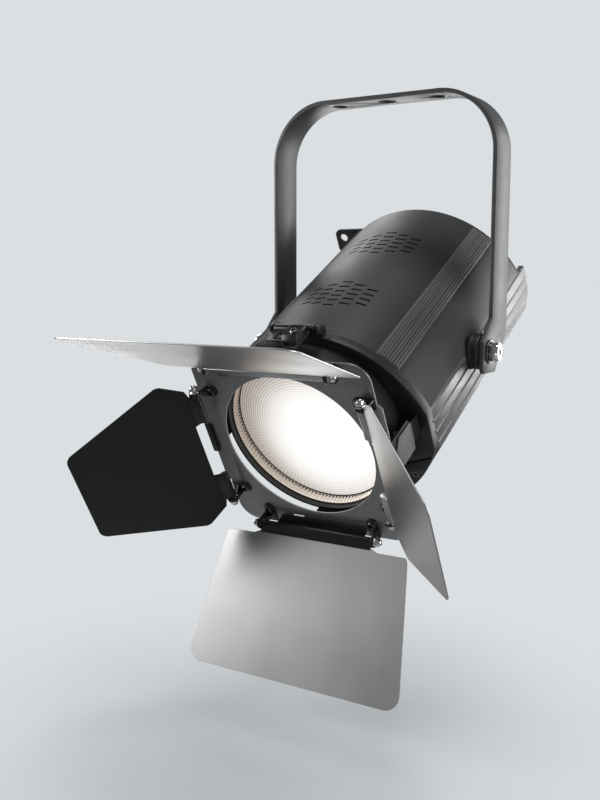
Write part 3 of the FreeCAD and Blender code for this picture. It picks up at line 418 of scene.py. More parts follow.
def make_lens_finish():
    material, nodes, links, shader = new_material("lens_glow")

    def maths(operation, first, second=None):
        node = nodes.new("ShaderNodeMath")
        node.operation = operation
        for i, value in enumerate((first, second)):
            if value is None:
                continue
            if isinstance(value, (int, float)):
                node.inputs[i].default_value = value
            else:
                links.new(value, node.inputs[i])
        return node.outputs[0]

    def along(vector, direction):
        node = nodes.new("ShaderNodeVectorMath")
        node.operation = "DOT_PRODUCT"
        node.inputs[1].default_value = direction
        links.new(vector, node.inputs[0])
        return node.outputs["Value"]

    coordinates = nodes.new("ShaderNodeTexCoord")
    centred = nodes.new("ShaderNodeVectorMath")
    centred.operation = "SUBTRACT"
    centred.inputs[1].default_value = lens_axis
    links.new(coordinates.outputs["Object"], centred.inputs[0])
    x = along(centred.outputs["Vector"], across)
    v = along(centred.outputs["Vector"], upward)
    radius = maths("SQRT", maths("ADD", maths("MULTIPLY", x, x), maths("MULTIPLY", v, v)))
    rings = maths("SINE", maths("MULTIPLY", radius, 2 * math.pi / RING_PITCH))
    spokes = maths("SINE", maths("MULTIPLY", maths("ARCTAN2", v, x), SPOKE_COUNT))
    dots = maths("MULTIPLY", rings, spokes)
    pattern = maths("ADD", maths("MULTIPLY", rings, 0.5), maths("MULTIPLY", dots, 0.5))
    dx = maths("SUBTRACT", x, HOT_SPOT[0])
    dv = maths("SUBTRACT", v, HOT_SPOT[1])
    from_spot = maths("SQRT", maths("ADD", maths("MULTIPLY", dx, dx), maths("MULTIPLY", dv, dv)))
    warmth = nodes.new("ShaderNodeMapRange")
    warmth.interpolation_type = "SMOOTHSTEP"
    warmth.inputs["From Min"].default_value = HOT_RADIUS * HOT_CORE
    warmth.inputs["From Max"].default_value = HOT_RADIUS * HOT_EDGE
    links.new(from_spot, warmth.inputs["Value"])
    colour = nodes.new("ShaderNodeValToRGB")
    colour.color_ramp.elements[0].color = GLOW_CENTRE
    colour.color_ramp.elements[1].color = GLOW_RIM
    middle_stop = colour.color_ramp.elements.new(0.45)
    middle_stop.color = GLOW_MIDDLE
    links.new(warmth.outputs["Result"], colour.inputs["Fac"])
    patterned = nodes.new("ShaderNodeVectorMath")
    patterned.operation = "SCALE"
    links.new(colour.outputs["Color"], patterned.inputs[0])
    depth = maths("ADD", maths("MULTIPLY", warmth.outputs["Result"], PATTERN_GAIN), PATTERN_CENTRE)
    links.new(maths("ADD", maths("MULTIPLY", pattern, depth), 1.0), patterned.inputs["Scale"])
    links.new(patterned.outputs["Vector"], shader.inputs["Emission Color"])
    rays = nodes.new("ShaderNodeLightPath")
    unseen = maths("SUBTRACT", 1.0, rays.outputs["Is Camera Ray"])
    facing = nodes.new("ShaderNodeNewGeometry")
    front = maths("SUBTRACT", 1.0, facing.outputs["Backfacing"])
    brightness = maths("ADD", maths("MULTIPLY", unseen, LIGHT_ON_LEAVES), 1.0)
    links.new(maths("MULTIPLY", front, brightness), shader.inputs["Emission Strength"])
    shader.inputs["Base Color"].default_value = (0.12, 0.12, 0.12, 1)
    shader.inputs["Roughness"].default_value = 0.12
    bump = nodes.new("ShaderNodeBump")
    bump.inputs["Distance"].default_value = 0.15 * MM
    links.new(pattern, bump.inputs["Height"])
    links.new(bump.outputs["Normal"], shader.inputs["Normal"])
    return material


lens_glow = make_lens_finish()
print("lens rings every", RING_PITCH / MM, "mm")

# %% [markdown]
# ## Modelling helpers
#
# The pieces are made by hand methods: add a primitive, select some of it by where it is, extrude, bevel
# or spin. An operator works on whatever is selected, so every helper clears the selection first.


# %% Selection helpers
def clear_selection():
    if bpy.context.object and bpy.context.object.mode != "OBJECT":
        bpy.ops.object.mode_set(mode="OBJECT")
    bpy.ops.object.select_all(action="DESELECT")


def pick(*objects):
    clear_selection()
    for item in objects:
        item.select_set(True)
    bpy.context.view_layer.objects.active = objects[0]
    return objects[0]


def edit_all(item):
    """Opens a piece in edit mode with everything selected."""
    pick(item)
    bpy.ops.object.mode_set(mode="EDIT")
    bpy.ops.mesh.select_all(action="SELECT")


def select_nothing(item):
    pick(item)
    for part in (item.data.vertices, item.data.edges, item.data.polygons):
        part.foreach_set("select", [False] * len(part))


def faces_up(centre, normal):
    return normal.z > 0.9


def select_faces(item, wanted):
    """Opens a piece in edit mode with the faces selected whose centre and normal pass the test."""
    select_nothing(item)
    for face in item.data.polygons:
        face.select = wanted(face.center, face.normal)
    bpy.ops.object.mode_set(mode="EDIT")
    bpy.ops.mesh.select_mode(type="FACE")


def object_mode():
    bpy.ops.object.mode_set(mode="OBJECT")


def modify(item, kind, **settings):
    """Adds one modifier, sets it and applies it."""
    pick(item)
    modifier = item.modifiers.new(kind.lower(), kind)
    for label, value in settings.items():
        setattr(modifier, label, value)
    bpy.ops.object.modifier_apply(modifier=modifier.name)


def round_edges(item, width_mm, segments=2, over=30):
    """Bevels each edge that turns by more than so many degrees."""
    modify(item, "BEVEL", width=width_mm * MM, segments=segments, limit_method="ANGLE",
           angle_limit=math.radians(over), use_clamp_overlap=True, harden_normals=False)


def smooth(item, under):
    pick(item)
    bpy.ops.object.shade_smooth_by_angle(angle=math.radians(under))


def joined(*objects):
    pick(*objects)
    bpy.ops.object.join()
    return bpy.context.object


def outward_faces(item):
    edit_all(item)
    bpy.ops.mesh.remove_doubles(threshold=0.005 * MM)
    bpy.ops.mesh.normals_make_consistent(inside=False)
    object_mode()


def pulled_out(item, x=0.0, y=0.0, z=0.0):
    """Extrudes the whole flat piece by so many metres, so that it becomes a solid."""
    edit_all(item)
    bpy.ops.mesh.extrude_region_move(TRANSFORM_OT_translate={"value": (x, y, z)})
    bpy.ops.mesh.select_all(action="SELECT")
    bpy.ops.mesh.normals_make_consistent(inside=False)
    object_mode()


def mirrored(item):
    """Turns the piece into its mirror image across the head."""
    edit_all(item)
    bpy.ops.transform.mirror(constraint_axis=(True, False, False), center_override=(0, 0, 0))
    bpy.ops.mesh.normals_make_consistent(inside=False)
    object_mode()
    return item


def shifted(item, x, y, z):
    item.data.transform(Matrix.Translation(Vector((x, y, z)) * MM))
    return item


# %% Primitives in millimetres
def box(x, y, z, name="box"):
    """A block given by its two limits along each axis, in millimetres."""
    clear_selection()
    centre = [(low + high) / 2 * MM for low, high in (x, y, z)]
    bpy.ops.mesh.primitive_cube_add(size=1, location=centre)
    item = bpy.context.object
    item.scale = [(high - low) * MM for low, high in (x, y, z)]
    bpy.ops.object.transform_apply(location=True, rotation=True, scale=True)
    item.name = name
    return item


TURNS = {"x": (0, math.radians(90), 0), "y": (math.radians(-90), 0, 0), "z": (0, 0, 0)}


def round_bar(radius, start, end, along="z", place=(0, 0, 0), sides=32, name="bar"):
    """A cylinder or, with six sides, a hexagon along one axis, from start to end in millimetres."""
    clear_selection()
    middle_point = Vector(place)
    middle_point["xyz".index(along)] += (start + end) / 2
    bpy.ops.mesh.primitive_cylinder_add(vertices=sides, radius=radius * MM, depth=abs(end - start) * MM,
                                        location=middle_point * MM, rotation=TURNS[along])
    item = bpy.context.object
    bpy.ops.object.transform_apply(location=True, rotation=True, scale=True)
    item.name = name
    return item


def drawn_line(points, closed, name):
    """A line drawn by extruding one vertex from point to point, in millimetres."""
    clear_selection()
    bpy.ops.mesh.primitive_plane_add(size=MM, location=(0, 0, 0))
    item = bpy.context.object
    item.name = name
    bpy.ops.object.mode_set(mode="EDIT")
    bpy.ops.mesh.select_mode(type="VERT")
    bpy.ops.mesh.select_all(action="SELECT")
    bpy.ops.mesh.merge(type="CENTER")
    places = [Vector(point) * MM for point in points]
    bpy.ops.transform.translate(value=places[0])
    for here, following in zip(places, places[1:]):
        bpy.ops.mesh.extrude_region_move(TRANSFORM_OT_translate={"value": following - here})
    bpy.ops.mesh.select_all(action="SELECT")
    if closed:
        bpy.ops.mesh.edge_face_add()
    object_mode()
    return item


def turned(profile, name, steps=48, along="z", place=(0, 0, 0)):
    """A lathe piece: (radius, height) points spun once round the axis, then moved into place."""
    item = drawn_line([(radius, 0, height) for radius, height in profile], False, name)
    edit_all(item)
    bpy.ops.mesh.spin(steps=steps, angle=math.radians(360), center=(0, 0, 0), axis=(0, 0, 1))
    object_mode()
    outward_faces(item)
    item.rotation_euler = TURNS[along]
    item.location = Vector(place) * MM
    pick(item)
    bpy.ops.object.transform_apply(location=True, rotation=True, scale=True)
    return item


# %% Copy a piece, and hand a piece over
def copy_of(item, name):
    """A copy with a mesh of its own."""
    twin = bpy.data.objects.new(name, item.data.copy())
    bpy.context.collection.objects.link(twin)
    return twin


def all_round(piece, count, axis):
    """The piece and its copies, evenly spaced round an axis."""
    pieces = [piece]
    for i in range(1, count):
        twin = copy_of(piece, f"{piece.name}_{i}")
        twin.data.transform(Matrix.Rotation(2 * math.pi * i / count, 4, axis))
        pieces.append(twin)
    return pieces


def hand_over(item, name, body, finish, matrix=HEAD, replaces=()):
    """Carries a finished piece to its place in the mesh itself, paints it, and lets it ride."""
    item.name = name
    item.data.transform(matrix)
    item.data.materials.clear()
    item.data.materials.append(finish)
    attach(item, body)
    if replaces:
        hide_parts(*replaces)
    return item


def softened(node, finish, width_mm):
    """A CAD node's shape with its sharp edges rounded: a merged copy that replaces the node."""
    source = frame["nodes"][node]
    item = copy_of(source, node + "_finished")
    edit_all(item)
    bpy.ops.mesh.customdata_custom_splitnormals_clear()
    bpy.ops.mesh.remove_doubles(threshold=0.002 * MM)
    bpy.ops.mesh.dissolve_limited(angle_limit=math.radians(0.5))
    object_mode()
    round_edges(item, width_mm)
    smooth(item, 25)
    hand_over(item, item.name, body_of[node], finish, Matrix.Identity(4), (node,))


print("helpers ready")

# %% [markdown]
# ## The pieces that keep their engineering shape
#
# The yoke, the housing and most fittings already have their true shape. What they lack is the small
# radius that every real edge has: it is what catches the light and makes a thin bright line along sheet
# metal. So each gets a merged copy with a bevel on its sharp edges, and a finish.

# %% Rounded copies
ROUNDED = {
    # the yoke's lighter paint is painted light
    "yoke_bar": (yoke_paint, 0.7),
    "left_rib_strip": (strip_paint, 0.08),
    "right_rib_strip": (strip_paint, 0.08),
    "left_side_shell": (side_paint, 0.3),
    "right_side_shell": (side_paint, 0.3),
    "left_side_rail": (rail_metal, 0.25),
    "right_side_rail": (rail_metal, 0.25),
    "bottom_shell": (housing_paint, 0.3),
    "front_bezel": (bezel_paint, 0.35),
    "lower_bezel": (bezel_paint, 0.35),
    "safety_tab": (housing_paint, 0.3),
    "lens_barrel": (barrel_black, 0.3),
    # the clips' lighter finish is painted light
    "left_clip": (clip_satin_painted_light, 0.25),
    "right_clip": (clip_satin_painted_light, 0.25),
    "bottom_clip": (bracket_black, 0.25),
    "latch_bracket": (bracket_black, 0.3),
    "top_latch": (bracket_black, 0.3),
    "bezel_screws": (screw_steel, 0.3),
    "rear_screws": (screw_black, 0.3),
    "tilt_washers": (screw_steel, 0.25),
    "friction_washers": (rubber_black, 0.2),
    "pivot_bosses": (moulded_black, 0.5),
    "door_frame": (door_sheet, 0.3),
    "fuse_holder": (moulded_black, 0.4),
    "power_inlet": (moulded_blue, 0.5),
    "power_outlet": (moulded_grey, 0.5),
    "data_sockets": (moulded_black, 0.5),
    "menu_button": (rubber_black, 0.5),
    "down_button": (rubber_black, 0.5),
    "up_button": (rubber_black, 0.5),
    "enter_button": (rubber_black, 0.5),
}
for node, (finish, width) in ROUNDED.items():
    softened(node, finish, width)
print(len(ROUNDED), "rounded copies")

# %% Pieces with curved or pierced faces, and pieces inside, which keep their mesh
OWN_MESH = {
    "top_cover": housing_paint, "rear_panel": housing_paint,
    "chassis_plate": plain_metal, "guide_rods": ground_steel, "lead_screw": ground_steel,
    "zoom_motor": moulded_black, "fan_frame": moulded_black, "fan_rotor": moulded_black,
    "control_board": board_green, "power_supply": plain_metal, "zoom_carriage": plain_metal,
    "drive_nut": brass_metal, "heat_sink": bracket_black, "led_module": white_resist,
    "collimator": mirror_metal,
}
for node, finish in OWN_MESH.items():
    mesh = frame["nodes"][node].data
    mesh.materials.clear()
    mesh.materials.append(finish)
print(len(OWN_MESH), "nodes painted on their own mesh")

# %% [markdown]
# Between the dark cover and the side shells runs a strip of fine ribs, which is a run of extruded
# aluminium. Each rib is a thin bar, half sunk in the strip, and they are set out round the cover's own
# centre line. The ribs stop just short of the front and rear castings.

# %% Ribs
RIB_R = 0.85
RIB_COUNT = 9
STRIP_START, STRIP_END = 36.6, 47.4
COVER_R, COVER_CENTRE = 112.1, -25.0
RIB_FRONT, RIB_BACK = -103.0, 139.0


def rib_run(sign):
    ribs = []
    for i in range(RIB_COUNT):
        angle = math.radians(STRIP_START + (STRIP_END - STRIP_START) * i / (RIB_COUNT - 1)) * sign
        place = (COVER_R * math.sin(angle), 0, COVER_CENTRE + COVER_R * math.cos(angle))
        ribs.append(round_bar(RIB_R, RIB_FRONT, RIB_BACK, "y", place, 10, "rib"))
    run = joined(*ribs)
    smooth(run, 50)
    return run


for side_name, sign in (("left", -1), ("right", 1)):
    hand_over(rib_run(sign), side_name + "_ribs", "head", strip_paint)
print("ribs:", RIB_COUNT, "on each side")

# %% Clip covers
CLIP_IN, CLIP_OUT = 96.9, 98.4
CLIP_OUTLINE = [(-162, -12), (-162, 8), (-155, 16), (-131, 16), (-131, -12)]


def clip_cover():
    """A plate over the clip's wall, with one front corner cut off."""
    item = drawn_line([(CLIP_IN, y, z) for y, z in CLIP_OUTLINE], True, "right_cover")
    pulled_out(item, x=(CLIP_OUT - CLIP_IN) * MM)
    round_edges(item, 0.35)
    smooth(item, 20)
    return item


right_cover = clip_cover()
left_cover = mirrored(copy_of(right_cover, "left_cover"))
# The covers take the clips' lighter finish, which is painted light.
for side_name, cover in (("left", left_cover), ("right", right_cover)):
    hand_over(cover, side_name + "_clip_cover", "head", clip_satin_painted_light)
print("two clip covers")

# %% [markdown]
# ## The barn door's leaves
#
# A leaf is one sheet of metal, cut to a rounded outline and rolled at one edge so that two bolts can hold
# it. The roll stiffens the thin sheet. The outline is drawn as one line, its corners are rounded while it
# is still flat, and then it is given its thickness. All four leaves have one finish, drawn here in lit and
# shaded copies: the top, bottom and right leaves get light satin metal as painted sheen, and the left one
# matt black as painted shade.

# %% Leaf outlines
SHEET = 1.2
ROLL_END = 58.6
BIG_OUTER = [(-112, 138), (112, 138)]
BIG_INNER = [(96, 9.5), (-96, 9.5)]
BIG_NECK = [(66, 9.5), (ROLL_END, 6.2), (ROLL_END, 1.5), (-ROLL_END, 1.5), (-ROLL_END, 6.2), (-66, 9.5)]
BIG_OUTLINE = BIG_OUTER + BIG_INNER[:1] + BIG_NECK + BIG_INNER[1:]
SMALL_OUTER = [(-45, 127), (45, 127)]
SMALL_INNER = [(80, 30), (-80, 30)]
NOTCH = [(30, 1.5), (28, 9.5), (-28, 9.5), (-30, 1.5)]
SMALL_NECK = ([(66, 8.5), (ROLL_END, 6.2), (ROLL_END, 1.5)] + NOTCH
              + [(-ROLL_END, 1.5), (-ROLL_END, 6.2), (-66, 8.5)])
SMALL_OUTLINE = SMALL_OUTER + SMALL_INNER[:1] + SMALL_NECK + SMALL_INNER[1:]


def round_corners(item, corners, radius):
    """Rounds the drawn outline's corners that stand at the given places."""
    select_nothing(item)
    for vertex in item.data.vertices:
        near = min((vertex.co.xy / MM - Vector(corner)).length for corner in corners)
        vertex.select = near < 0.2
    bpy.ops.object.mode_set(mode="EDIT")
    bpy.ops.mesh.select_mode(type="VERT")
    bpy.ops.mesh.bevel(offset=radius * MM, segments=8, affect="VERTICES")
    object_mode()


def thickened(item, thickness):
    """Pulls a flat outline out to both sides of its plane."""
    edit_all(item)
    bpy.ops.mesh.extrude_region_move(TRANSFORM_OT_translate={"value": (0, 0, thickness * MM)})
    bpy.ops.mesh.select_all(action="SELECT")
    bpy.ops.transform.translate(value=(0, 0, -thickness / 2 * MM))
    bpy.ops.mesh.normals_make_consistent(inside=False)
    object_mode()


def leaf_sheet(outline, rounded, name):
    item = drawn_line([(x, y, 0) for x, y in outline], True, name)
    for corners, radius in rounded:
        round_corners(item, corners, radius)
    thickened(item, SHEET)
    round_edges(item, 0.28)
    smooth(item, 20)
    return item


big_leaf = leaf_sheet(BIG_OUTLINE, [(BIG_OUTER, 15), (BIG_INNER, 4)], "big_leaf")
small_leaf = leaf_sheet(SMALL_OUTLINE, [(SMALL_OUTER, 6), (SMALL_INNER, 4)], "small_leaf")
print("leaf faces", len(big_leaf.data.polygons), len(small_leaf.data.polygons))

# %% Where each leaf sits
OUTWARD = {"top": upward, "bottom": -upward, "left": -across, "right": across}


def leaf_place(side, opened=True):
    """Along the hinge is X, away from it is Y. Unopened gives the lugs' own axes, Z straight ahead."""
    joint = joints[side + "_flap_turn"]
    outward = OUTWARD[side]
    along = outward.cross(ahead)
    if not opened:
        return axes_at(Vector(joint["pos_m"]), along, ahead.cross(along), ahead)
    opening = math.radians(-joint["range_deg"][0])
    reach = outward * math.cos(opening) + ahead * math.sin(opening)
    return axes_at(Vector(joint["pos_m"]), along, reach, along.cross(reach))


# Light satin on the top, bottom and right leaves is painted sheen, and matt black on the left leaf is
# painted shade.
LEAF_LOOKS = {"top": (big_leaf, leaf_painted_sheen), "bottom": (big_leaf, leaf_painted_sheen),
              "left": (small_leaf, leaf_painted_shade), "right": (small_leaf, leaf_painted_sheen)}
for side, (pattern_leaf, finish) in LEAF_LOOKS.items():
    hand_over(copy_of(pattern_leaf, side), side + "_leaf_sheet", side + "_flap", finish,
              leaf_place(side), (side + "_leaf",))
print("four leaves on their hinges")

# %% [markdown]
# The rolled edge sits in a folded hem, from lug to lug. The hems share the leaves' finish: the top and
# right ones are light satin, as painted sheen, and the bottom and left ones black, as painted shade. On
# the small leaves the middle is left open, which saves weight and lets the leaf clear the clips. In
# section the hem is a drop: round about the bolt, and closing on the sheet at its tip.

# %% Hems
FOOT_LOW, FOOT_HIGH = -13.0, -11.5
HEM_R = 3.7
HEM_TIP = 8.2
HEM_TIP_HALF = 1.2
HEM_ARC = range(40, 321, 20)


def hem(start, end, name):
    angles = [math.radians(degrees) for degrees in HEM_ARC]
    section = [(HEM_R * math.cos(angle), HEM_R * math.sin(angle)) for angle in angles]
    section += [(HEM_TIP, -HEM_TIP_HALF), (HEM_TIP, HEM_TIP_HALF)]
    item = drawn_line([(start, y, z) for y, z in section], True, name)
    pulled_out(item, x=(end - start) * MM)
    round_edges(item, 0.25, 2, 32)
    smooth(item, 30)
    return item


long_hem = hem(-ROLL_END + 0.2, ROLL_END - 0.2, "long_hem")
short_hems = joined(hem(-ROLL_END + 0.2, -30.2, "hem_a"), hem(30.2, ROLL_END - 0.2, "hem_b"))
for side in OUTWARD:
    pattern_hem = long_hem if side in ("top", "bottom") else short_hems
    # Light satin on the top and right hems is painted sheen, and black on the bottom and left hems is
    # painted shade.
    finish = leaf_painted_sheen if side in ("top", "right") else bracket_black
    hand_over(copy_of(pattern_hem, side), side + "_leaf_hem", side + "_flap", finish,
              leaf_place(side))
flange = box((-47, 47), (2.0, 3.4), (FOOT_LOW + 0.1, -4.6), "bottom_flange")
round_edges(flange, 0.4)
smooth(flange, 20)
hand_over(flange, "bottom_flange", "door", bracket_black, leaf_place("bottom", opened=False))
print("four hems and the flange behind the lowest")

# %% Screw heads
POCKET_WIDTH, POCKET_DEPTH = 0.62, 0.8


def socket_screw(radius, height, name):
    """A cap screw head, standing on z = 0, with a hexagon pocket."""
    head = turned([(0, 0), (radius, 0), (radius, height - 0.5), (radius - 0.5, height),
                   (radius * POCKET_WIDTH, height)], name, 28)
    pocket = round_bar(radius * POCKET_WIDTH, height - radius * POCKET_DEPTH, height, "z", sides=6)
    select_faces(pocket, faces_up)
    bpy.ops.mesh.delete(type="FACE")
    bpy.ops.mesh.select_all(action="SELECT")
    bpy.ops.mesh.flip_normals()
    object_mode()
    head = joined(head, pocket)
    smooth(head, 28)
    return head


print("screw heads ready")

# %% [markdown]
# ## The hinges
#
# Each leaf hangs on two lugs screwed to the frame plate. A lug is a folded strip: a foot for the screw,
# a bend, and an ear with a round end. A bolt runs through it, with a washer under its domed nut. One set
# is modelled and then copied to the eight places, mirrored for the other end of each leaf.

# %% One lug
LUG_IN, LUG_OUT = 59.0, 61.0
EAR_R = 5.6
FOOT_IN = 50.0
SCREW_X = (FOOT_IN + LUG_OUT) / 2
SCREW_Y = -9.5


def lug():
    ear = box((LUG_IN, LUG_OUT), (-EAR_R, EAR_R), (FOOT_LOW, 0), "ear")
    round_end = round_bar(EAR_R, LUG_IN, LUG_OUT, "x", sides=28)
    boss = round_bar(5.2, LUG_OUT, LUG_OUT + 1.1, "x", sides=28)
    foot = box((FOOT_IN, LUG_OUT), (SCREW_Y, EAR_R), (FOOT_LOW, FOOT_HIGH), "foot")
    tongue = round_bar((LUG_OUT - FOOT_IN) / 2, FOOT_LOW, FOOT_HIGH, "z", (SCREW_X, SCREW_Y, 0), 28)
    for part, width in ((ear, 0.3), (round_end, 0.3), (boss, 0.15), (foot, 0.3), (tongue, 0.3)):
        round_edges(part, width)
    web = drawn_line([(LUG_IN, -1, FOOT_HIGH), (LUG_IN - 5, -1, FOOT_HIGH), (LUG_IN, -1, FOOT_HIGH + 5)],
                     True, "web")
    pulled_out(web, y=2 * MM)
    return joined(ear, round_end, boss, foot, tongue, web)


def foot_screw():
    """A ring washer and a low round head with a hexagon pocket, on the lug's foot."""
    ring = turned([(2.0, 0), (4.6, 0), (4.6, 0.8), (2.0, 0.8), (2.0, 0)], "ring", 28)
    head = shifted(socket_screw(3.4, 2.2, "foot_screw"), 0, 0, 0.8)
    return shifted(joined(head, ring), SCREW_X, SCREW_Y, FOOT_HIGH)


def hinge_hardware():
    """Washer, hexagon nut and chrome dome outside the lug, and a ring washer inside it."""
    washer = turned([(2.1, 0), (4.6, 0), (4.8, 0.2), (4.8, 0.8), (4.6, 1.0), (2.1, 1.0)], "washer", 28,
                    "x", (LUG_OUT + 1.2, 0, 0))
    nut = round_bar(4.1, LUG_OUT + 2.2, LUG_OUT + 4.9, "x", sides=6)
    round_edges(nut, 0.4)
    collar = turned([(0, 0), (3.6, 0), (3.4, 0.5), (3.1, 1.4), (2.3, 2.5), (1.2, 3.1), (0, 3.3)], "collar",
                    28, "x", (LUG_OUT + 4.6, 0, 0))
    inner = turned([(2.1, 0), (4.2, 0), (4.2, 0.35), (2.1, 0.35)], "inner", 24, "x", (LUG_IN - 0.4, 0, 0))
    shank = round_bar(2.0, ROLL_END - 13, LUG_OUT + 2, "x", sides=16)
    return joined(washer, nut, collar, inner, shank)


def both_ends(item, name):
    """The piece and its mirror image at the other end of the hinge, as one mesh."""
    return joined(item, mirrored(copy_of(item, name)))


lug_pair = both_ends(lug(), "lug_twin")
screw_pair = both_ends(foot_screw(), "foot_screw_twin")
hardware_pair = both_ends(hinge_hardware(), "hardware_twin")
for item in (lug_pair, screw_pair, hardware_pair):
    smooth(item, 28)
print("hinge set faces", len(lug_pair.data.polygons) + len(hardware_pair.data.polygons))

# %% Eight hinges
for side in OUTWARD:
    fixed_place = leaf_place(side, opened=False)
    hand_over(copy_of(lug_pair, side), side + "_lugs", "door", bracket_black, fixed_place,
              ("door_lugs",) if side == "top" else ())
    hand_over(copy_of(screw_pair, side), side + "_lug_screws", "door", screw_steel, fixed_place)
    hand_over(copy_of(hardware_pair, side), side + "_hinge_bolts", side + "_flap", bright_metal,
              leaf_place(side), (side + "_leaf_bolts",))
for pattern_piece in (big_leaf, small_leaf, long_hem, short_hems, lug_pair, screw_pair, hardware_pair):
    bpy.data.objects.remove(pattern_piece)
print("eight hinges")

# %% [markdown]
# ## The tilt fasteners
#
# The head is held by friction: a bolt on each side squeezes the yoke's foot against a fibre washer. On
# the left it ends in a domed nut on a thick collar, and on the right in a cap screw with a hexagon socket.

# %% Left domed nut and right cap screw
KNURLS = 40
PIVOT_PLACE = axes_at(pivot, across, -ahead, upward)
dome = turned([(0, -142.0), (2.5, -141.7), (4.8, -140.2), (6.4, -137.6), (7.0, -135.2), (7.4, -134.8),
               (8.2, -134.8), (8.6, -134.3), (8.6, -131.6), (7.9, -131.2), (7.9, -130.9), (8.6, -130.5),
               (8.6, -127.7), (8.1, -127.2), (0, -127.2)], "dome", 48, "x")
flats = round_bar(7.9, -139.4, -134.9, "x", sides=6)
round_edges(flats, 0.6)
left_nut = joined(dome, flats)
smooth(left_nut, 30)
hand_over(left_nut, "left_tilt_nut", body_of["tilt_bolts"], bright_metal, PIVOT_PLACE, ("tilt_bolts",))
right_head = turned([(3.6, 129.2), (3.6, 132.5), (4.1, 132.5), (7.6, 132.5), (8.3, 132.2), (8.5, 131.5),
                     (8.5, 127.2), (8.2, 126.6), (8.2, 126.3), (0, 126.3), (0, 129.2), (3.6, 129.2)],
                    "right_head", 48, "x")
knurl = round_bar(0.42, 126.9, 131.2, "x", (0, 8.45, 0), 8, "knurl")
right_head = joined(right_head, *all_round(knurl, KNURLS, "X"))
smooth(right_head, 40)
hand_over(right_head, "right_tilt_screw", body_of["tilt_bolts"], bright_metal, PIVOT_PLACE)
print("two tilt fasteners")

# %% [markdown]
# ## The lens and its ring
#
# A Fresnel lens is a thick lens cut into rings that are pushed back flat, so its face is a saw-tooth in
# section. It is spun from such a profile. A metal ring holds it in the barrel, and short flutes round the
# ring's wall keep stray light from running forward.

# %% The stepped lens
LENS_EDGE = 77.3
LENS_RIM = 134.0
LENS_DOME = 5.0
STEP_DEPTH = 0.55


def lens_profile():
    points = [(LENS_EDGE + 1.5, LENS_RIM - 8), (LENS_EDGE + 1.5, LENS_RIM - 0.6), (LENS_EDGE, LENS_RIM)]
    count = int(LENS_EDGE / STEP_PITCH)
    for i in range(count):
        radius = LENS_EDGE - i * STEP_PITCH
        inner = max(radius - STEP_PITCH, 0.0)
        rise = LENS_DOME * (1 - (radius / LENS_EDGE) ** 2)
        inner_rise = LENS_DOME * (1 - (inner / LENS_EDGE) ** 2)
        points.append((radius - 0.2, LENS_RIM + rise + STEP_DEPTH))
        points.append((inner, LENS_RIM + inner_rise))
    return points + [(0, LENS_RIM + LENS_DOME)]


AHEAD_LATHE = axes_at(lens_axis, across, upward, ahead)
lens = turned(lens_profile(), "stepped_lens", 96)
smooth(lens, 60)
hand_over(lens, "stepped_lens", body_of["fresnel_lens"], lens_glow, AHEAD_LATHE, ("fresnel_lens",))
print("lens faces", len(lens.data.polygons))

# %% The fluted ring
RING_OUT, RING_IN = 79.45, 78.5
RING_BACK, RING_FRONT = 134.6, 145.0
FLUTES = 132

ring_wall = turned([(RING_OUT, RING_BACK), (RING_OUT, RING_FRONT), (RING_IN - 0.9, RING_FRONT),
                    (RING_IN - 0.9, RING_FRONT - 1.1), (RING_IN, RING_FRONT - 1.1),
                    (RING_IN, RING_BACK + 1.2),
                    (RING_IN - 1.2, RING_BACK + 1.2), (RING_IN - 1.2, RING_BACK), (RING_OUT, RING_BACK)],
                   "ring_wall", 120)
flute = round_bar(1.25, RING_BACK + 0.9, RING_FRONT - 0.9, "z", (RING_IN + 0.1, 0, 0), 8, "flute")
fluted_ring = joined(ring_wall, *all_round(flute, FLUTES, "Z"))
smooth(fluted_ring, 50)
hand_over(fluted_ring, "fluted_ring", body_of["lens_retainer"], retainer_metal, AHEAD_LATHE,
          ("lens_retainer",))
print("ring faces", len(fluted_ring.data.polygons))

# %% The gasket round the lens
gasket = turned([(LENS_EDGE - 0.9, LENS_RIM + 0.2), (LENS_EDGE - 0.9, LENS_RIM + 0.75),
                 (RING_IN + 0.2, LENS_RIM + 0.75), (RING_IN + 0.2, LENS_RIM + 0.2),
                 (LENS_EDGE - 0.9, LENS_RIM + 0.2)], "lens_gasket", 120)
smooth(gasket, 40)
hand_over(gasket, "lens_gasket", body_of["fresnel_lens"], rubber_black, AHEAD_LATHE)

# %% [markdown]
# ## The latch over the colour slot
#
# The latch is sprung shut. Beside its open window it carries a cast block that the thumb lifts, with a
# screw sunk in it. The block is one cube with its front edge sloped, and the screw pocket is pushed in.

# %% Latch block
def pushed_in(item, inset_mm, depth_mm):
    """Insets the chosen top face and pushes the middle down into the piece."""
    select_faces(item, faces_up)
    bpy.ops.mesh.inset(thickness=inset_mm * MM, depth=0)
    bpy.ops.transform.translate(value=(0, 0, -depth_mm * MM))
    object_mode()


block = box((2.5, 18.4), (-148, -127), (98.1, 106.0), "latch_block")
select_faces(block, faces_up)
bpy.ops.transform.translate(value=(0, 2.5 * MM, 0))
bpy.ops.transform.resize(value=(0.9, 0.75, 1))
object_mode()
pushed_in(block, 2.2, 2.6)
round_edges(block, 0.5)
smooth(block, 25)
hand_over(block, "latch_block", "latch", bracket_black)

latch_screw = shifted(socket_screw(3.4, 2.6, "latch_screw"), 10.4, -135.2, 103.2)
hand_over(latch_screw, "latch_screw", "latch", bright_metal)
print("latch block and its screw")

# %% [markdown]
# ## The rear panel
#
# Power comes in through a blue twist-lock socket and goes on through a grey one, and two five-pin data
# sockets stand beside them. A twist-lock socket has a moulded drum with blades in a ring round it. A data
# socket is a metal shell with five pins. Each kind is modelled once, facing out along Z, and copied.

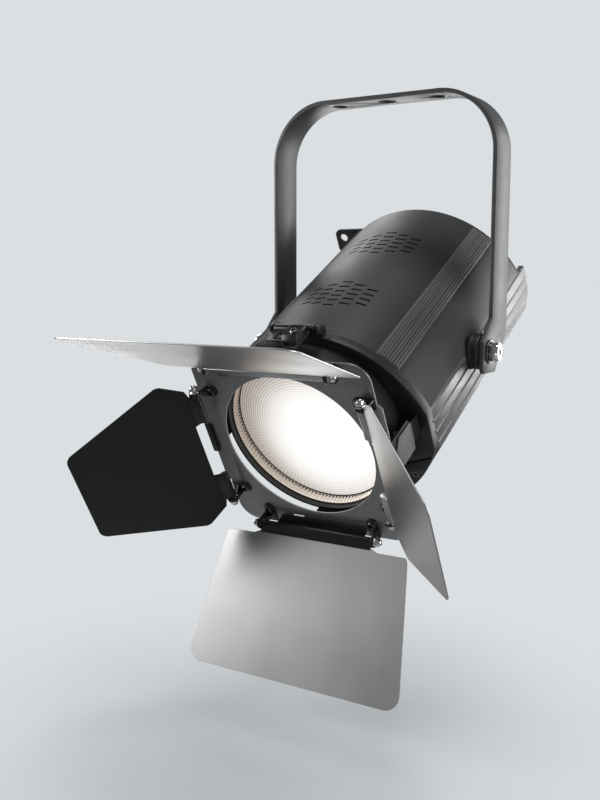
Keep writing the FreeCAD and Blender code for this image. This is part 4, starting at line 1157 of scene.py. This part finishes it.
# %% Rear axes
REAR_FACE = 143.0
POWER_X = (-66, -33)
DATA_X = (2, 34)
SOCKET_HEIGHT = -58
NOSE_OUT = 4.0
KEY_OUT = 2.52
KEY_X = {"menu": 22, "down": 38, "up": 54, "enter": 70}
KEY_HEIGHT = -22


def rear_place(x, height, out=0.0):
    """Axes on the rear panel: X across, Y up, Z out of the panel."""
    place = lens_axis + across * (x * MM) + upward * (height * MM) - ahead * ((REAR_FACE + out) * MM)
    return axes_at(place, -across, upward, -ahead)


# %% Power sockets
def power_socket():
    drum = turned([(0, -1.5), (5.0, -1.5), (5.2, -1.8), (5.2, -12), (0, -12)], "drum", 32)
    floor_disc = turned([(0, -12.2), (9.4, -12.2), (9.4, -11.6), (0, -11.6)], "floor_disc", 32)
    parts = [drum, floor_disc]
    for turn in (90, 210, 330):
        blade = box((6.0, 7.0), (-1.6, 1.6), (-11.7, -3.0), "blade")
        round_edges(blade, 0.2)
        blade.data.transform(Matrix.Rotation(math.radians(turn), 4, "Z"))
        parts.append(blade)
    for x, y in ((-11, 11), (11, -11)):
        parts.append(shifted(socket_screw(2.2, 1.4, "flange_screw"), x, y, -2.0))
    core = joined(*parts)
    smooth(core, 28)
    return core


power_core = power_socket()
for label, x, finish in (("power_in", POWER_X[0], moulded_blue), ("power_out", POWER_X[1], moulded_grey)):
    hand_over(copy_of(power_core, label), label + "_core", "head", finish,
              rear_place(x, SOCKET_HEIGHT, NOSE_OUT))
bpy.data.objects.remove(power_core)
print("two power sockets")


# %% Data sockets
PINS = 5
PIN_CIRCLE = 5


def data_pins():
    parts = []
    for i in range(PINS):
        pin = turned([(0, -2.6), (0.5, -2.8), (0.8, -3.4), (0.8, -9.5), (0, -9.5)], "pin", 14)
        angle = math.radians(-90 + 360 / PINS * i)
        parts.append(shifted(pin, PIN_CIRCLE * math.cos(angle), PIN_CIRCLE * math.sin(angle), 0))
    core = joined(*parts)
    smooth(core, 28)
    return core


insert = turned([(0, -9.0), (7.9, -9.0), (7.9, -12.9), (0, -12.9)], "insert", 32)
smooth(insert, 28)
pins = data_pins()
for i, x in enumerate(DATA_X):
    hand_over(copy_of(pins, f"data_{i}"), f"data_pins_{i}", "head", bright_metal,
              rear_place(x, SOCKET_HEIGHT, NOSE_OUT))
    hand_over(copy_of(insert, f"insert_{i}"), f"data_insert_{i}", "head", moulded_black,
              rear_place(x, SOCKET_HEIGHT, NOSE_OUT))
bpy.data.objects.remove(pins)
bpy.data.objects.remove(insert)
print("two data sockets")

# %% Display window
DISPLAY_X, DISPLAY_HEIGHT = (14, 66), (-34, -10)
window = box(DISPLAY_X, DISPLAY_HEIGHT, (-1.0, 2.0), "window")
pushed_in(window, 2.2, 0.9)
round_edges(window, 0.35)
smooth(window, 25)
hand_over(window, "display_glass", "head", dark_window, rear_place(0, 0), ("display_window",))

# %% Arrow marks on the keys
for key, x in KEY_X.items():
    if key == "menu":
        mark = turned([(0.9, 0), (1.5, 0), (1.5, 0.15), (0.9, 0.15), (0.9, 0)], key, 20)
    elif key == "enter":
        mark = turned([(0, 0), (1.1, 0), (1.1, 0.15), (0, 0.15)], key, 20)
    else:
        tip = 1.3 if key == "up" else -1.3
        mark = drawn_line([(-1.3, -tip * 0.6, 0), (1.3, -tip * 0.6, 0), (0, tip, 0)], True, key)
        thickened(mark, 0.2)
    hand_over(mark, key + "_mark", key + "_key", white_resist, rear_place(x, KEY_HEIGHT, KEY_OUT))
print("four key marks")
